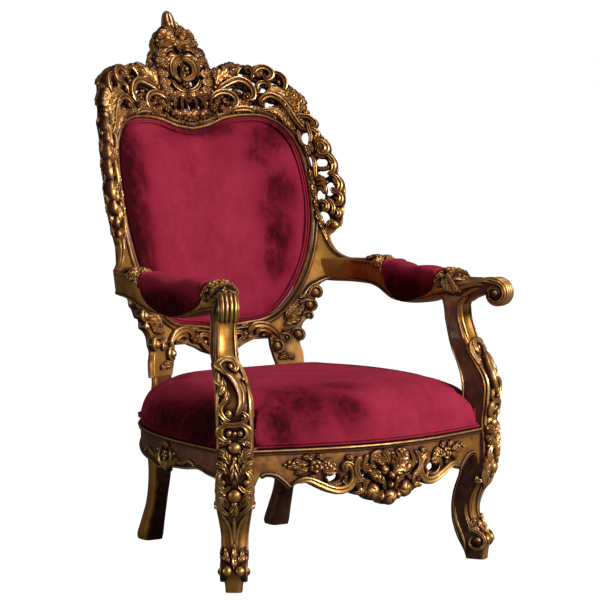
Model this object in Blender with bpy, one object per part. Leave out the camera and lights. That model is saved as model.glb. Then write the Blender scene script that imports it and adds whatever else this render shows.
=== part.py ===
"""A carved giltwood throne with a wrap-around upholstered back, a deep crowned seat and padded scroll arms.

Metres, +Z up. The throne faces -Y and its left half mirrors its right half (+X). The origin is on the floor,
under the middle of the whole throne. Every wooden member of the frame and every upholstered pad is an object.
"""

import math

import bmesh
import bpy
import numpy as np
from mathutils import Matrix, Vector

# Overall sizes
HEIGHT = 1.500  # floor to finial tip
PLAN_SHIFT = -0.072  # moves the plan below so that the throne's box is centred on the origin
GAP = 0.0003  # clearance between neighbouring pieces
HAIR = 0.0012  # clearance of upholstery in its frame

# The back is a shallow bowl: its front face leans back more and more with height, and wraps round the sitter
BACK_Z = 0.531  # height at which the lean is measured
BACK_Y = 0.339  # depth of the face there, on the centre line
LEAN = 0.14  # slope of the face there
LEAN_GROWTH = 0.16
WRAP = 0.85  # how quickly the sides come forward
WING_X = 0.300  # past this the wings turn forward more sharply, and get thinner
WING_WRAP = 2.35
WING_SQUEEZE = 1.2  # breadth that the turn takes up
WING_THINNING = 9.0  # share of the thickness lost per metre
BACK_THICKNESS = 0.040
BEND_STEP = 0.06  # the flat boards are scored at this pitch before they are bent

# Front legs stand in a vertical plane turned out from straight ahead; above the seat they twist towards the arm
LEG_X, LEG_Y = 0.384, -0.361
LEG_TURN = 35
SUPPORT_TURN = 18
TWIST_FROM, TWIST_TO = 0.46, 0.62
LEG_LEAN = [  # (height, how far the post stands to the outer side there)
    (0.000, 0.004), (0.206, 0.003), (0.240, 0.000), (0.430, 0.000), (0.490, 0.003), (0.535, 0.010), (0.570, 0.015),
    (0.600, 0.016), (0.630, 0.014), (0.655, 0.013), (0.690, 0.012), (0.800, 0.012),
]
LEG_BLOCK = 0.0465  # half width of the leg where the rails run into it
ARM_JOINT_Z = 0.590  # the arm's down-turned end meets the leg's upper end here

# Seat
RAIL_TOP = 0.365
RAIL_THICKNESS = 0.028
FRONT_Y, FRONT_BOW = -0.402, 0.085  # the front rail's ends, and how far its middle stands forward
FRONT_SPAN = 0.76
SEAT_CROWN = 0.508
REAR_RAIL_Y = 0.300
REAR_LEG_X, REAR_LEG_WIDTH = 0.213, 0.074
POST_SIDE_X = 0.2503

# The arm's rolled front end stands in its own plane through the support's head
NECK_X, NECK_Y, NECK_TURN = 0.3742, -0.2921, 27
NECK_HALF_WIDTH = 0.026
VOLUTE_OUT, VOLUTE_Z, VOLUTE_RADIUS = 0.1175, 0.724, 0.0435
VOLUTE_HALF_WIDTH = 0.0245

# Half outlines, from the middle outwards, as (x, z)
PANEL_HALF = [
    (0.000, 1.150), (0.055, 1.160), (0.110, 1.180), (0.170, 1.188), (0.225, 1.183), (0.270, 1.155),
    (0.299, 1.100), (0.311, 1.010), (0.310, 0.920), (0.298, 0.840), (0.275, 0.765), (0.240, 0.695),
    (0.195, 0.640), (0.150, 0.612), (0.100, 0.603), (0.050, 0.597), (0.000, 0.584),
]
CREST_HALF = [
    (0.000, 1.462), (0.018, 1.458), (0.034, 1.446), (0.030, 1.430), (0.054, 1.424), (0.062, 1.404),
    (0.069, 1.382), (0.090, 1.364), (0.092, 1.342), (0.097, 1.320), (0.096, 1.298), (0.111, 1.320),
    (0.135, 1.332), (0.160, 1.342), (0.190, 1.334), (0.215, 1.329), (0.245, 1.332), (0.272, 1.322),
    (0.298, 1.300), (0.306, 1.272), (0.326, 1.250), (0.325, 1.222), (0.338, 1.196), (0.352, 1.170),
]
WING_EDGE = [
    (0.338, 1.196), (0.357, 1.170), (0.355, 1.150), (0.362, 1.128), (0.382, 1.110), (0.381, 1.082),
    (0.392, 1.050), (0.390, 1.015), (0.402, 0.990), (0.400, 0.962), (0.394, 0.930), (0.386, 0.900),
    (0.380, 0.872), (0.368, 0.856), (0.353, 0.846), (0.354, 0.824), (0.366, 0.800), (0.386, 0.785),
    (0.420, 0.779),
]
ARM_ROOT_BOTTOM = [
    (0.420, 0.716), (0.380, 0.721), (0.345, 0.722), (0.318, 0.712), (0.306, 0.696), (0.311, 0.678),
    (0.298, 0.664), (0.296, 0.642), (0.277, 0.634), (0.282, 0.612), (0.264, 0.600), (0.252, 0.582),
    (0.256, 0.560), (0.246, 0.540), (0.251, 0.510), (0.250, 0.470),
]
POST_INNER = [(0.176, 0.470), (0.167, 0.500), (0.160, 0.530), (0.159, 0.550), (0.140, 0.560), (0.132, 0.595)]
LOW_RAIL_HALF = [
    (0.185, 0.545), (0.150, 0.552), (0.110, 0.551), (0.080, 0.539), (0.055, 0.525), (0.025, 0.515), (0.000, 0.506),
]
APRON_HALF = [
    (0.000, 0.204), (0.022, 0.207), (0.036, 0.221), (0.058, 0.220), (0.078, 0.236), (0.100, 0.238),
    (0.112, 0.250), (0.136, 0.243), (0.162, 0.248), (0.192, 0.262), (0.228, 0.278), (0.250, 0.275),
    (0.268, 0.265), (0.284, 0.280), (0.304, 0.297), (0.330, 0.303), (0.346, 0.296), (0.360, 0.272),
    (0.376, 0.255),
]
CREST_JOINT = ((0.2935, 1.118), (0.372, 1.205))  # where the crest rail sits on the post, panel side first
LOW_JOINT = ((0.150, 0.612), (0.158, 0.500))
POST_END_X = 0.3920  # the post's forward end, where the arm is tenoned in

# Pierced holes as (x, z, half length, half width, degrees from level)
CREST_HOLES = [
    (0.152, 1.262, 0.022, 0.010, 15), (0.191, 1.302, 0.014, 0.009, -50), (0.232, 1.270, 0.014, 0.007, 0),
    (0.272, 1.276, 0.015, 0.008, -65), (0.240, 1.219, 0.018, 0.007, -15), (0.114, 1.236, 0.013, 0.009, 60),
    (0.026, 1.215, 0.011, 0.005, 90), (0.062, 1.208, 0.009, 0.005, 70), (0.036, 1.362, 0.009, 0.005, 30),
]
WING_HOLES = [
    (0.326, 1.128, 0.017, 0.009, 80), (0.323, 1.053, 0.014, 0.006, 85), (0.356, 1.056, 0.009, 0.009, 0),
    (0.354, 1.022, 0.014, 0.007, 20), (0.367, 0.976, 0.014, 0.008, 70), (0.341, 0.955, 0.012, 0.007, 80),
    (0.342, 0.893, 0.013, 0.011, 90),
]
APRON_HOLES = [(0.156, 0.287, 0.015, 0.008, -12)]

# Front leg stations, as (height, back, front, half width); back and front are distances out along its plane
LEG_STATIONS = [
    (0.000, -0.024, 0.031, 0.0215), (0.022, -0.031, 0.034, 0.0245), (0.050, -0.046, 0.044, 0.031),
    (0.078, -0.056, 0.030, 0.032), (0.110, -0.064, 0.012, 0.032), (0.145, -0.065, 0.006, 0.035),
    (0.180, -0.060, 0.014, 0.040), (0.206, -0.052, 0.032, 0.045), (0.240, -0.040, 0.046, LEG_BLOCK),
    (0.290, -0.034, 0.057, LEG_BLOCK), (0.340, -0.034, 0.054, LEG_BLOCK), (0.385, -0.034, 0.048, LEG_BLOCK),
    (0.430, -0.034, 0.054, 0.048), (0.490, -0.036, 0.055, 0.0475), (0.535, -0.052, 0.030, 0.0435),
    (0.570, -0.075, -0.002, 0.0365), (0.600, -0.089, -0.020, 0.0335),
]
SUPPORT_STATIONS = [
    (0.580, -0.081, -0.012, 0.035), (0.620, -0.095, -0.030, 0.031), (0.655, -0.102, -0.041, 0.030),
    (0.690, -0.104, -0.042, 0.030), (0.730, -0.098, -0.028, 0.030),
]
# Arm stations from the back forwards, as (x, y, bottom, top, half width)
ARM_STATIONS = [
    (0.350, 0.264, 0.713, 0.781, 0.015), (0.375, 0.233, 0.713, 0.782, 0.018), (0.392, 0.190, 0.712, 0.783, 0.024),
    (0.398, 0.132, 0.710, 0.784, 0.028), (0.399, 0.082, 0.701, 0.782, 0.031), (0.397, 0.040, 0.690, 0.764, 0.034),
    (0.389, -0.018, 0.677, 0.724, 0.039), (0.376, -0.093, 0.676, 0.716, 0.040), (0.371, -0.163, 0.684, 0.724, 0.038),
    (0.370, -0.220, 0.698, 0.762, 0.034), (0.371, -0.258, 0.705, 0.780, 0.031), (0.3735, -0.296, 0.710, 0.776, 0.030),
]
# The arm pad's crown height and half width at some of those stations, by their y
PAD_CROWNS = {
    0.040: (0.788, 0.036), -0.018: (0.785, 0.042), -0.093: (0.776, 0.044), -0.163: (0.787, 0.041), -0.220: (0.781, 0.035),
}
NECK_STATIONS = [
    (-0.016, 0.708, 0.774), (0.006, 0.700, 0.768), (0.022, 0.690, 0.761), (0.040, 0.697, 0.759), (0.056, 0.707, 0.762),
    (0.075, 0.715, 0.766), (0.098, 0.730, 0.767), (0.120, 0.742, 0.766),
]
# Rear leg stations, as (height, depth of its middle, half depth, half width)
REAR_LEG_STATIONS = [
    (0.000, 0.372, 0.030, 0.030), (0.018, 0.370, 0.032, 0.032), (0.060, 0.354, 0.029, 0.029),
    (0.120, 0.332, 0.026, 0.025), (0.200, 0.316, 0.025, 0.028), (0.290, 0.313, 0.025, 0.036),
    (0.380, 0.305, 0.022, 0.036), (0.500, 0.296, 0.016, 0.034),
]
SIDE_RAIL_CURVE = [Vector((0.424, -0.326)), Vector((0.440, -0.120)), Vector((0.436, 0.165)), Vector((0.236, 0.312))]


def spline(stations, per_span, closed=False):
    """Smooth samples through the stations, each a tuple of any length."""
    p = np.array(stations, float)
    count = len(p)
    spans = count if closed else count - 1
    found = []
    for i in range(spans):
        a, b, c, d = (
            p[(i + k) % count] if closed else p[min(max(i + k, 0), count - 1)] for k in (-1, 0, 1, 2)
        )
        for t in np.arange(per_span) / per_span:
            found.append(0.5 * (2 * b + (c - a) * t + (2 * a - 5 * b + 4 * c - d) * t**2 + (3 * b - a - 3 * c + d) * t**3))
    if not closed:
        found.append(p[-1])
    return np.array(found)


def on_back(u, z, proud):
    """The point that far in front of the back's face, at breadth u along it and height z."""
    past = max(0.0, abs(u) - WING_X)
    x = math.copysign(abs(u) - WING_SQUEEZE * past * past, u)
    turn = max(0.0, abs(x) - WING_X)
    rise = z - BACK_Z
    y = BACK_Y + LEAN * rise + LEAN_GROWTH * rise * rise - WRAP * x * x - WING_WRAP * turn * turn
    across = -2 * WRAP * x - 2 * WING_WRAP * math.copysign(turn, x)
    forward = Vector((across, -1, LEAN + 2 * LEAN_GROWTH * rise)).normalized()
    if proud < 0:
        proud *= max(0.4, 1 - WING_THINNING * past) * min(1, max(0.65, 0.65 + 2.5 * (z - 0.62)))
    return Vector((x, y, z)) + forward * proud


def on_front_rail(x, z, proud):
    """The point that far in front of the front rail's face, which bows forward between the legs."""
    return Vector((x, FRONT_Y - FRONT_BOW * math.cos(math.pi * x / FRONT_SPAN) - proud, z))


def on_side_rail(along, z, proud):
    """The same for the right side rail; along runs from 0 at the front leg to 1 at the rear one."""
    a, b, c, d = SIDE_RAIL_CURVE
    u = 1 - along
    at = a * u**3 + 3 * b * u * u * along + 3 * c * u * along**2 + d * along**3
    heading = (b - a) * u * u + 2 * (c - b) * u * along + (d - c) * along**2
    out = Vector((heading.y, -heading.x)).normalized()
    return Vector((at.x + out.x * proud, at.y + out.y * proud, z))


def turned(degrees):
    """The directions out along a vertical plane turned out from straight ahead, and to the side of it."""
    turn = math.radians(degrees)
    return Vector((math.sin(turn), -math.cos(turn), 0)), Vector((math.cos(turn), math.sin(turn), 0))


def on_leg(out, z, side=0.0):
    """A point of the right front leg, by its distance out along the leg's plane and to the side of it."""
    share = min(1.0, max(0.0, (z - TWIST_FROM) / (TWIST_TO - TWIST_FROM)))
    share = share * share * (3 - 2 * share)
    forward, across = turned(LEG_TURN + (SUPPORT_TURN - LEG_TURN) * share)
    lean = float(np.interp(z, [a for a, _ in LEG_LEAN], [b for _, b in LEG_LEAN]))
    return Vector((LEG_X, LEG_Y, z)) + forward * out + across * (side + lean)


def on_neck(out, z, side=0.0):
    """The same for the arm's rolled end, measured from the support's head."""
    forward, across = turned(NECK_TURN)
    return Vector((NECK_X, NECK_Y, z)) + forward * out + across * side


def mirrored(half):
    """The other half of an outline, from its outer end back to the middle."""
    return [(-x, z) for x, z in reversed(half)]


def material(name, colour, roughness, metallic):
    made = bpy.data.materials.get(name) or bpy.data.materials.new(name)
    made.use_nodes = True
    shader = made.node_tree.nodes["Principled BSDF"]
    shader.inputs["Base Color"].default_value = (*colour, 1)
    shader.inputs["Roughness"].default_value = roughness
    shader.inputs["Metallic"].default_value = metallic
    return made


def gilt():
    return material("gilt_wood", (0.36, 0.21, 0.06), 0.34, 0.85)


def velvet():
    return material("red_velvet", (0.36, 0.02, 0.045), 0.75, 0.0)


def add_object(name, bm, finish):
    """An object of this mesh, shaded smooth with its sharp edges kept."""
    bmesh.ops.recalc_face_normals(bm, faces=bm.faces)
    mesh = bpy.data.meshes.new(name)
    bm.to_mesh(mesh)
    bm.free()
    mesh.shade_smooth()
    mesh.set_sharp_from_angle(angle=math.radians(35))
    mesh.materials.append(finish)
    made = bpy.data.objects.new(name, mesh)
    bpy.context.collection.objects.link(made)
    return made


def loft(rings, closed=False):
    """A mesh through rings of points, with flat ends unless the rings themselves close up."""
    bm = bmesh.new()
    rows = [[bm.verts.new(p) for p in ring] for ring in rings]
    count = len(rows[0])
    pairs = list(zip(rows, rows[1:] + rows[:1] if closed else rows[1:]))
    for low, high in pairs[: len(rows) if closed else len(rows) - 1]:
        for i in range(count):
            j = (i + 1) % count
            bm.faces.new((low[i], low[j], high[j], high[i]))
    if not closed:
        bm.faces.new(rows[0][::-1])
        bm.faces.new(rows[-1])
    return bm


def rounded(half_x, half_y, sides=12, squareness=3.2):
    """Offsets round a rounded rectangle of these half sizes."""
    found = []
    for i in range(sides):
        angle = 2 * math.pi * (i + 0.5) / sides
        c, s = math.cos(angle), math.sin(angle)
        reach = (abs(c) ** squareness + abs(s) ** squareness) ** (-1 / squareness)
        found.append((half_x * c * reach, half_y * s * reach))
    return found


def board(outline, holes, thickness, place, step=BEND_STEP, cuts=()):
    """A flat board sawn to an outline and pierced, then bent onto a surface by place(u, v, proud)."""
    curve = bpy.data.curves.new("sawn_board", "CURVE")
    curve.dimensions = "2D"
    curve.fill_mode = "BOTH"
    curve.extrude = thickness / 2
    for ring in [outline] + holes:
        strip = curve.splines.new("POLY")
        strip.points.add(len(ring) - 1)
        for point, (u, v) in zip(strip.points, ring):
            point.co = (u, v, 0, 1)
        strip.use_cyclic_u = True
    flat = bpy.data.objects.new("sawn_board", curve)
    mesh = bpy.data.meshes.new_from_object(flat)
    bpy.data.objects.remove(flat)
    bm = bmesh.new()
    bm.from_mesh(mesh)
    bmesh.ops.remove_doubles(bm, verts=bm.verts, dist=1e-5)
    for point, normal in cuts:
        parts = bm.verts[:] + bm.edges[:] + bm.faces[:]
        bmesh.ops.bisect_plane(bm, geom=parts, plane_co=(*point, 0), plane_no=(*normal, 0), clear_outer=True)
        bmesh.ops.holes_fill(bm, edges=[e for e in bm.edges if e.is_boundary])
    span = [v.co.x for v in bm.verts]
    for k in range(math.floor(min(span) / step) + 1, math.ceil(max(span) / step)):
        parts = bm.verts[:] + bm.edges[:] + bm.faces[:]
        scored = bmesh.ops.bisect_plane(bm, geom=parts, plane_co=(k * step, 0, 0), plane_no=(1, 0, 0), dist=1e-4)
        for item in scored["geom_cut"]:
            if isinstance(item, bmesh.types.BMEdge):
                item.seam = True
    bmesh.ops.dissolve_limit(bm, angle_limit=0.01, verts=bm.verts, edges=bm.edges, delimit={"SEAM"})
    bmesh.ops.triangulate(bm, faces=bm.faces)
    for v in bm.verts:
        v.co = place(v.co.x, v.co.y, v.co.z - thickness / 2)
    return bm


def oval(u, v, half_length, half_width, degrees, points=6):
    """The outline of one pierced hole."""
    turn = math.radians(degrees)
    found = []
    for i in range(points):
        a = 2 * math.pi * i / points
        p, q = half_length * math.cos(a), half_width * math.sin(a)
        found.append((u + p * math.cos(turn) - q * math.sin(turn), v + p * math.sin(turn) + q * math.cos(turn)))
    return found


def flipped(holes):
    return [(-u, v, a, b, -turn) for u, v, a, b, turn in holes]


def carving(bm):
    """A hidden helper that is joined to a member by its Boolean."""
    made = add_object("carving", bm, gilt())
    made.hide_render = True
    made.display_type = "WIRE"
    return made


def roll(path, radii, place, sides=5, proud=0.0):
    """A carved roll of round section along a path of (u, v), laid on a surface."""
    path = np.array(path)
    heading = np.gradient(path, axis=0)
    heading /= np.linalg.norm(heading, axis=1)[:, None]
    rings = []
    for (u, v), (hu, hv), r in zip(path, heading, radii):
        ring = []
        for i in range(sides):
            a = 2 * math.pi * i / sides
            across, up = r * math.cos(a), r * math.sin(a)
            ring.append(place(u - hv * across, v + hu * across, proud + up))
        rings.append(ring)
    return carving(loft(rings))


def volute(place, u, v, radius, start, turns, thick, proud=0.004, steps=8):
    """A spiral roll that winds in from its start angle (degrees); negative turns wind clockwise."""
    path, radii = [], []
    for k in range(steps):
        t = k / (steps - 1)
        angle = math.radians(start) + 2 * math.pi * turns * t
        reach = radius * (1 - 0.80 * t)
        path.append((u + reach * math.cos(angle), v + reach * math.sin(angle)))
        radii.append(thick * (1 - 0.45 * t))
    return roll(path, radii, place, proud=proud)


def c_scroll(place, points, thick, proud=0.004, per_span=2):
    """A roll through a few points, thickest at its middle."""
    path = spline(points, per_span)
    swell = np.sin(np.linspace(0.25, math.pi - 0.25, len(path)))
    return roll(path, thick * (0.45 + 0.55 * swell), place, proud=proud)


def boss(place, u, v, radius, proud=0.0, flat=0.8):
    """A half-round boss or berry."""
    bm = bmesh.new()
    bmesh.ops.create_uvsphere(bm, u_segments=6, v_segments=4, radius=radius)
    for vert in bm.verts:
        x, y, z = vert.co
        vert.co = place(u + x, v + y, proud + z * flat)
    return carving(bm)


def join_carvings(member, carvings, level=3.5):
    """Unites a member with the carvings on it."""
    group = bpy.data.collections.new(member.name + "_carvings")
    bpy.context.scene.collection.children.link(group)
    for made in carvings:
        bpy.context.collection.objects.unlink(made)
        group.objects.link(made)
    union = member.modifiers.new("carvings", "BOOLEAN")
    union.operation = "UNION"
    union.operand_type = "COLLECTION"
    union.collection = group
    union.solver = "EXACT"
    tidy = member.modifiers.new("merge_level_facets", "DECIMATE")
    tidy.decimate_type = "DISSOLVE"
    tidy.angle_limit = math.radians(level)
    return member


def add_pair(name, make):
    """The right-hand member and its mirror image, as NAME_right and NAME_left."""
    pair = []
    for word, flip in (("right", 1), ("left", -1)):
        pair.append(make(f"{name}_{word}", lambda p, flip=flip: Vector((p[0] * flip, p[1], p[2]))))
    return pair


def panel_loop():
    """The whole outline of the opening that the back's upholstery fills, clockwise from its top middle."""
    return PANEL_HALF + mirrored(PANEL_HALF)[1:-1]


def between(loop, start, end):
    """The part of a closed loop from the point nearest start on to the point nearest end."""
    def nearest(target):
        return min(range(len(loop)), key=lambda i: math.dist(loop[i], target))

    i, j = nearest(start), nearest(end)
    return loop[i : j + 1] if i <= j else loop[i:] + loop[: j + 1]


def line_normal(joint):
    """The unit normal of a joint's line, pointing up."""
    (x0, z0), (x1, z1) = joint
    normal = Vector((z0 - z1, x1 - x0)).normalized()
    return normal if normal.y > 0 else -normal


def pulled_back(joint, distance):
    """A point on a joint's line, moved along its normal."""
    return Vector(joint[0]) + line_normal(joint) * distance


def crest_rail():
    outer = list(CREST_HALF)
    top = between(panel_loop(), (-0.311, 1.010), (0.311, 1.010))
    outline = [(-x, z) for x, z in reversed(outer[1:])] + outer + top[::-1]
    normal = line_normal(CREST_JOINT)
    point = pulled_back(CREST_JOINT, GAP)
    cuts = [(point, -normal), ((-point.x, point.y), (normal.x, -normal.y))]
    holes = [oval(*hole) for hole in CREST_HOLES + flipped(CREST_HOLES)]
    rail = add_object("crest_rail", board(outline, holes, BACK_THICKNESS, on_back, cuts=cuts), gilt())
    parts = [finial()]
    parts.append(volute(on_back, 0.004, 1.322, 0.044, 200, -1.4, 0.012, 0.010, 11))
    parts.append(volute(on_back, -0.002, 1.268, 0.040, 20, -1.3, 0.011, 0.008, 10))
    for flip in (1, -1):
        def place(u, v, proud, flip=flip):
            return on_back(u * flip, v, proud)

        parts += [
            volute(place, 0.162, 1.240, 0.036, 100, -1.1, 0.011),
            c_scroll(place, [(0.212, 1.240), (0.255, 1.240), (0.300, 1.175)], 0.014),
            c_scroll(place, [(0.110, 1.303), (0.150, 1.324), (0.190, 1.316)], 0.011),
            c_scroll(place, [(0.215, 1.300), (0.260, 1.312), (0.298, 1.262)], 0.011),
            boss(place, 0.066, 1.343, 0.020),
        ]
    return join_carvings(rail, parts)


def finial():
    """The bud that stands on the crest, round in plan."""
    rings = []
    foot = on_back(0, 1.448, -BACK_THICKNESS / 2)
    for rise, radius in ((0.0, 0.020), (0.008, 0.021), (0.026, 0.0185), (0.044, 0.016), (0.054, 0.010), (0.060, 0.003)):
        centre = foot + Vector((0, rise * 0.28, rise))
        ring = [centre + Vector((radius * c, radius * s, 0)) for c, s in rounded(1, 1, 6, 2)]
        rings.append(ring)
    return carving(loft(rings))


def back_post(name, hand):
    """One rear post: the pierced wing beside the panel, the arm's root, the stile and the rear leg, in one piece."""
    panel = between(panel_loop(), (0.270, 1.155), (0.150, 0.612))
    wing = list(WING_EDGE)
    low = ARM_ROOT_BOTTOM + POST_INNER
    outline = [(0.300, 1.230)] + wing + low + panel[::-1]
    cuts = [
        (pulled_back(CREST_JOINT, -GAP), line_normal(CREST_JOINT)),
        ((POST_END_X, 0), (1, 0)),
    ]
    low_normal = Vector((LOW_JOINT[1][1] - LOW_JOINT[0][1], LOW_JOINT[0][0] - LOW_JOINT[1][0])).normalized()
    cuts.append((Vector(LOW_JOINT[0]) - low_normal * GAP, low_normal))
    holes = [oval(*hole) for hole in WING_HOLES]

    def place(u, v, proud):
        return hand(on_back(u, v, proud))

    post = add_object(name, board(outline, holes, BACK_THICKNESS, place, cuts=cuts), gilt())
    parts = [rear_leg(hand)]
    parts += [
        boss(place, 0.350, 1.112, 0.013),
        c_scroll(place, [(0.345, 1.092), (0.378, 1.078), (0.380, 1.030), (0.350, 1.000)], 0.010),
        c_scroll(place, [(0.390, 0.995), (0.386, 0.950), (0.356, 0.926)], 0.010),
        c_scroll(place, [(0.362, 0.872), (0.343, 0.842), (0.370, 0.793)], 0.008),
        boss(place, 0.294, 0.681, 0.014, 0.002),
        boss(place, 0.276, 0.647, 0.014, 0.002),
        boss(place, 0.180, 0.530, 0.013),
    ]
    return join_carvings(post, parts)


def rear_leg(hand):
    rings = []
    for z, y, half_depth, half_width in REAR_LEG_STATIONS:
        offsets = rounded(half_width, half_depth, 8, 5)
        rings.append([hand((REAR_LEG_X + a, y + b, z)) for a, b in offsets])
    return carving(loft(rings))


def low_back_rail():
    """The rail under the back panel, scalloped along its foot."""
    left_to_right = between(panel_loop(), (0.195, 0.640), (-0.195, 0.640))
    foot = list(LOW_RAIL_HALF)
    outline = left_to_right + [(-x, z) for x, z in foot] + foot[::-1][1:]
    normal = Vector((LOW_JOINT[1][1] - LOW_JOINT[0][1], LOW_JOINT[0][0] - LOW_JOINT[1][0])).normalized()
    point = Vector(LOW_JOINT[0]) + normal * GAP
    cuts = [(point, -normal), ((-point.x, point.y), (normal.x, -normal.y))]
    rail = add_object("low_back_rail", board(outline, [], BACK_THICKNESS, on_back, cuts=cuts), gilt())
    parts = [boss(on_back, 0, 0.545, 0.022)]
    for flip in (1, -1):
        def place(u, v, proud, flip=flip):
            return on_back(u * flip, v, proud)

        parts.append(c_scroll(place, [(0.024, 0.535), (0.055, 0.562), (0.095, 0.580), (0.140, 0.575)], 0.011))
    return join_carvings(rail, parts)


def leg_rings(stations, hand):
    rings = []
    for z, back, front, half_width in stations:
        middle, half = (front + back) / 2, (front - back) / 2
        offsets = rounded(half, half_width, 8, 3.6)
        rings.append([hand(on_leg(middle + a, z, b)) for a, b in offsets])
    return rings


def front_leg(name, hand):
    """The cabriole leg and, carved from the same post, the lower part of the arm's support."""
    below_joint = [s for s in LEG_STATIONS if s[0] < ARM_JOINT_Z]
    a, b = below_joint[-1], LEG_STATIONS[-1]
    share = (ARM_JOINT_Z - GAP / 2 - a[0]) / (b[0] - a[0])
    top = tuple(p + (q - p) * share for p, q in zip(a, b))
    leg = add_object(name, loft(leg_rings(below_joint + [top], hand)), gilt())

    def face(side, z, proud):
        front = float(np.interp(z, [s[0] for s in LEG_STATIONS], [s[2] for s in LEG_STATIONS]))
        return hand(on_leg(front - 0.004 + proud, z, side))

    parts = [
        boss(face, 0, 0.228, 0.017, flat=0.9),
        boss(face, 0, 0.350, 0.016, flat=0.7),
        boss(face, 0, 0.470, 0.022, flat=0.45),
    ]
    for side in (1, -1):
        eye = on_leg(0.018, 0.050, side * 0.026)
        parts.append(disc(eye, 0.018, 0.007, hand, LEG_TURN))
        parts.append(boss(face, side * 0.024, 0.285, 0.012))
    return join_carvings(leg, parts, 2)


def disc(centre, radius, half_width, hand, degrees, sides=8):
    """A short round block whose axis lies across the plane turned out that far."""
    forward, across = turned(degrees)
    rings = []
    for reach, share in ((-1, 0.8), (0, 1), (1, 0.8)):
        ring = []
        for i in range(sides):
            a = 2 * math.pi * i / sides
            out, up = radius * share * math.cos(a), radius * share * math.sin(a)
            ring.append(hand(centre + across * reach * half_width + forward * out + Vector((0, 0, up))))
        rings.append(ring)
    return carving(loft(rings))


def arm_rings(hand):
    """Sections along the arm, each square to the way it runs in plan."""
    samples = np.array(ARM_STATIONS)
    heading = np.gradient(samples[:, :2], axis=0)
    rings = []
    for (x, y, bottom, top, half_width), (hx, hy) in zip(samples, heading):
        across = Vector((hy, -hx, 0)).normalized()
        middle, half = (top + bottom) / 2, (top - bottom) / 2
        ring = []
        for a, b in rounded(half_width, half, 8, 2.8):
            ring.append(hand(Vector((x, y, middle + b)) + across * a))
        rings.append(ring)
    return rings


def arm(name, hand):
    """The arm, its rolled front end and its down-turned foot, which stands on the front leg."""
    bm = loft(arm_rings(hand))
    end = on_back(POST_END_X + 3 * GAP, 0.75, 0)
    forward = on_back(POST_END_X, 0.75, 0.01) - on_back(POST_END_X, 0.75, 0)
    upward = on_back(POST_END_X, 0.76, 0) - on_back(POST_END_X, 0.75, 0)
    along = upward.cross(forward).normalized()
    parts = bm.verts[:] + bm.edges[:] + bm.faces[:]
    bmesh.ops.bisect_plane(bm, geom=parts, plane_co=hand(end), plane_no=hand(-along), clear_outer=True)
    bmesh.ops.holes_fill(bm, edges=[e for e in bm.edges if e.is_boundary])
    made = add_object(name, bm, gilt())
    stations = [s for s in SUPPORT_STATIONS if s[0] > ARM_JOINT_Z]
    a, b = SUPPORT_STATIONS[0], stations[0]
    share = (ARM_JOINT_Z + GAP / 2 - a[0]) / (b[0] - a[0])
    foot = tuple(p + (q - p) * share for p, q in zip(a, b))
    carvings = [carving(loft(leg_rings([foot] + stations, hand)))]
    neck = []
    for out, bottom, top in NECK_STATIONS:
        middle, half = (top + bottom) / 2, (top - bottom) / 2
        neck.append([hand(on_neck(out, middle + b, a)) for a, b in rounded(NECK_HALF_WIDTH, half, 8, 3.2)])
    carvings.append(carving(loft(neck)))
    centre = on_neck(VOLUTE_OUT, VOLUTE_Z)
    carvings.append(disc(centre, VOLUTE_RADIUS - 0.004, VOLUTE_HALF_WIDTH - 0.006, hand, NECK_TURN, 12))
    carvings.append(scroll_band(hand))
    carvings += [
        crown_leaf(hand, 0.396, 0.090, 0.785, 0.018),
        crown_leaf(hand, 0.372, -0.262, 0.780, 0.018),
    ]
    return join_carvings(made, carvings)


def crown_leaf(hand, x, y, z, radius):
    """A carved knob of foliage on top of the arm."""
    bm = bmesh.new()
    bmesh.ops.create_uvsphere(bm, u_segments=6, v_segments=4, radius=radius)
    for v in bm.verts:
        v.co = hand(Vector((x, y, z)) + Vector((v.co.x * 1.2, v.co.y * 1.3, v.co.z * 0.6)))
    return carving(bm)


def scroll_band(hand):
    """The raised band that winds round the arm's rolled end."""
    rings = []
    steps, half = 15, 0.007
    for k in range(steps):
        t = k / (steps - 1)
        angle = math.radians(112) - 2 * math.pi * 1.45 * t
        reach = (VOLUTE_RADIUS - half) * (1 - 0.78 * t)
        width = VOLUTE_HALF_WIDTH
        ring = []
        for side, r in ((-width, half), (width, half), (width, -half), (-width, -half)):
            out = VOLUTE_OUT + (reach + r * (1 - 0.4 * t)) * math.cos(angle)
            up = VOLUTE_Z + (reach + r * (1 - 0.4 * t)) * math.sin(angle)
            ring.append(hand(on_neck(out, up, side)))
        rings.append(ring)
    return carving(loft(rings))


def front_rail():
    """The apron between the front legs, pierced and carved with a shell at its middle."""
    foot = list(APRON_HALF)
    outline = [(-x, z) for x, z in reversed(foot[1:])] + foot + [(0.376, RAIL_TOP), (0.0, RAIL_TOP), (-0.376, RAIL_TOP)]
    holes = [oval(*hole) for hole in APRON_HOLES + flipped(APRON_HOLES)]
    bm = board(outline, holes, RAIL_THICKNESS, on_front_rail)
    trim_at_leg(bm, -1)
    rail = add_object("front_rail", bm, gilt())
    parts = [boss(on_front_rail, 0, 0.285, 0.030, flat=0.55), boss(on_front_rail, 0, 0.232, 0.026, flat=0.6)]
    for flip in (1, -1):
        def place(u, v, proud, flip=flip):
            return on_front_rail(u * flip, v, proud)

        parts += [
            boss(place, 0.046, 0.244, 0.022, flat=0.6),
            volute(place, 0.098, 0.262, 0.018, 180, 1.0, 0.007, 0.003),
            c_scroll(place, [(0.116, 0.276), (0.108, 0.325), (0.055, 0.343)], 0.010, 0.002),
            boss(place, 0.205, 0.322, 0.019, flat=0.45),
        ]
    return join_carvings(rail, parts)


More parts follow.
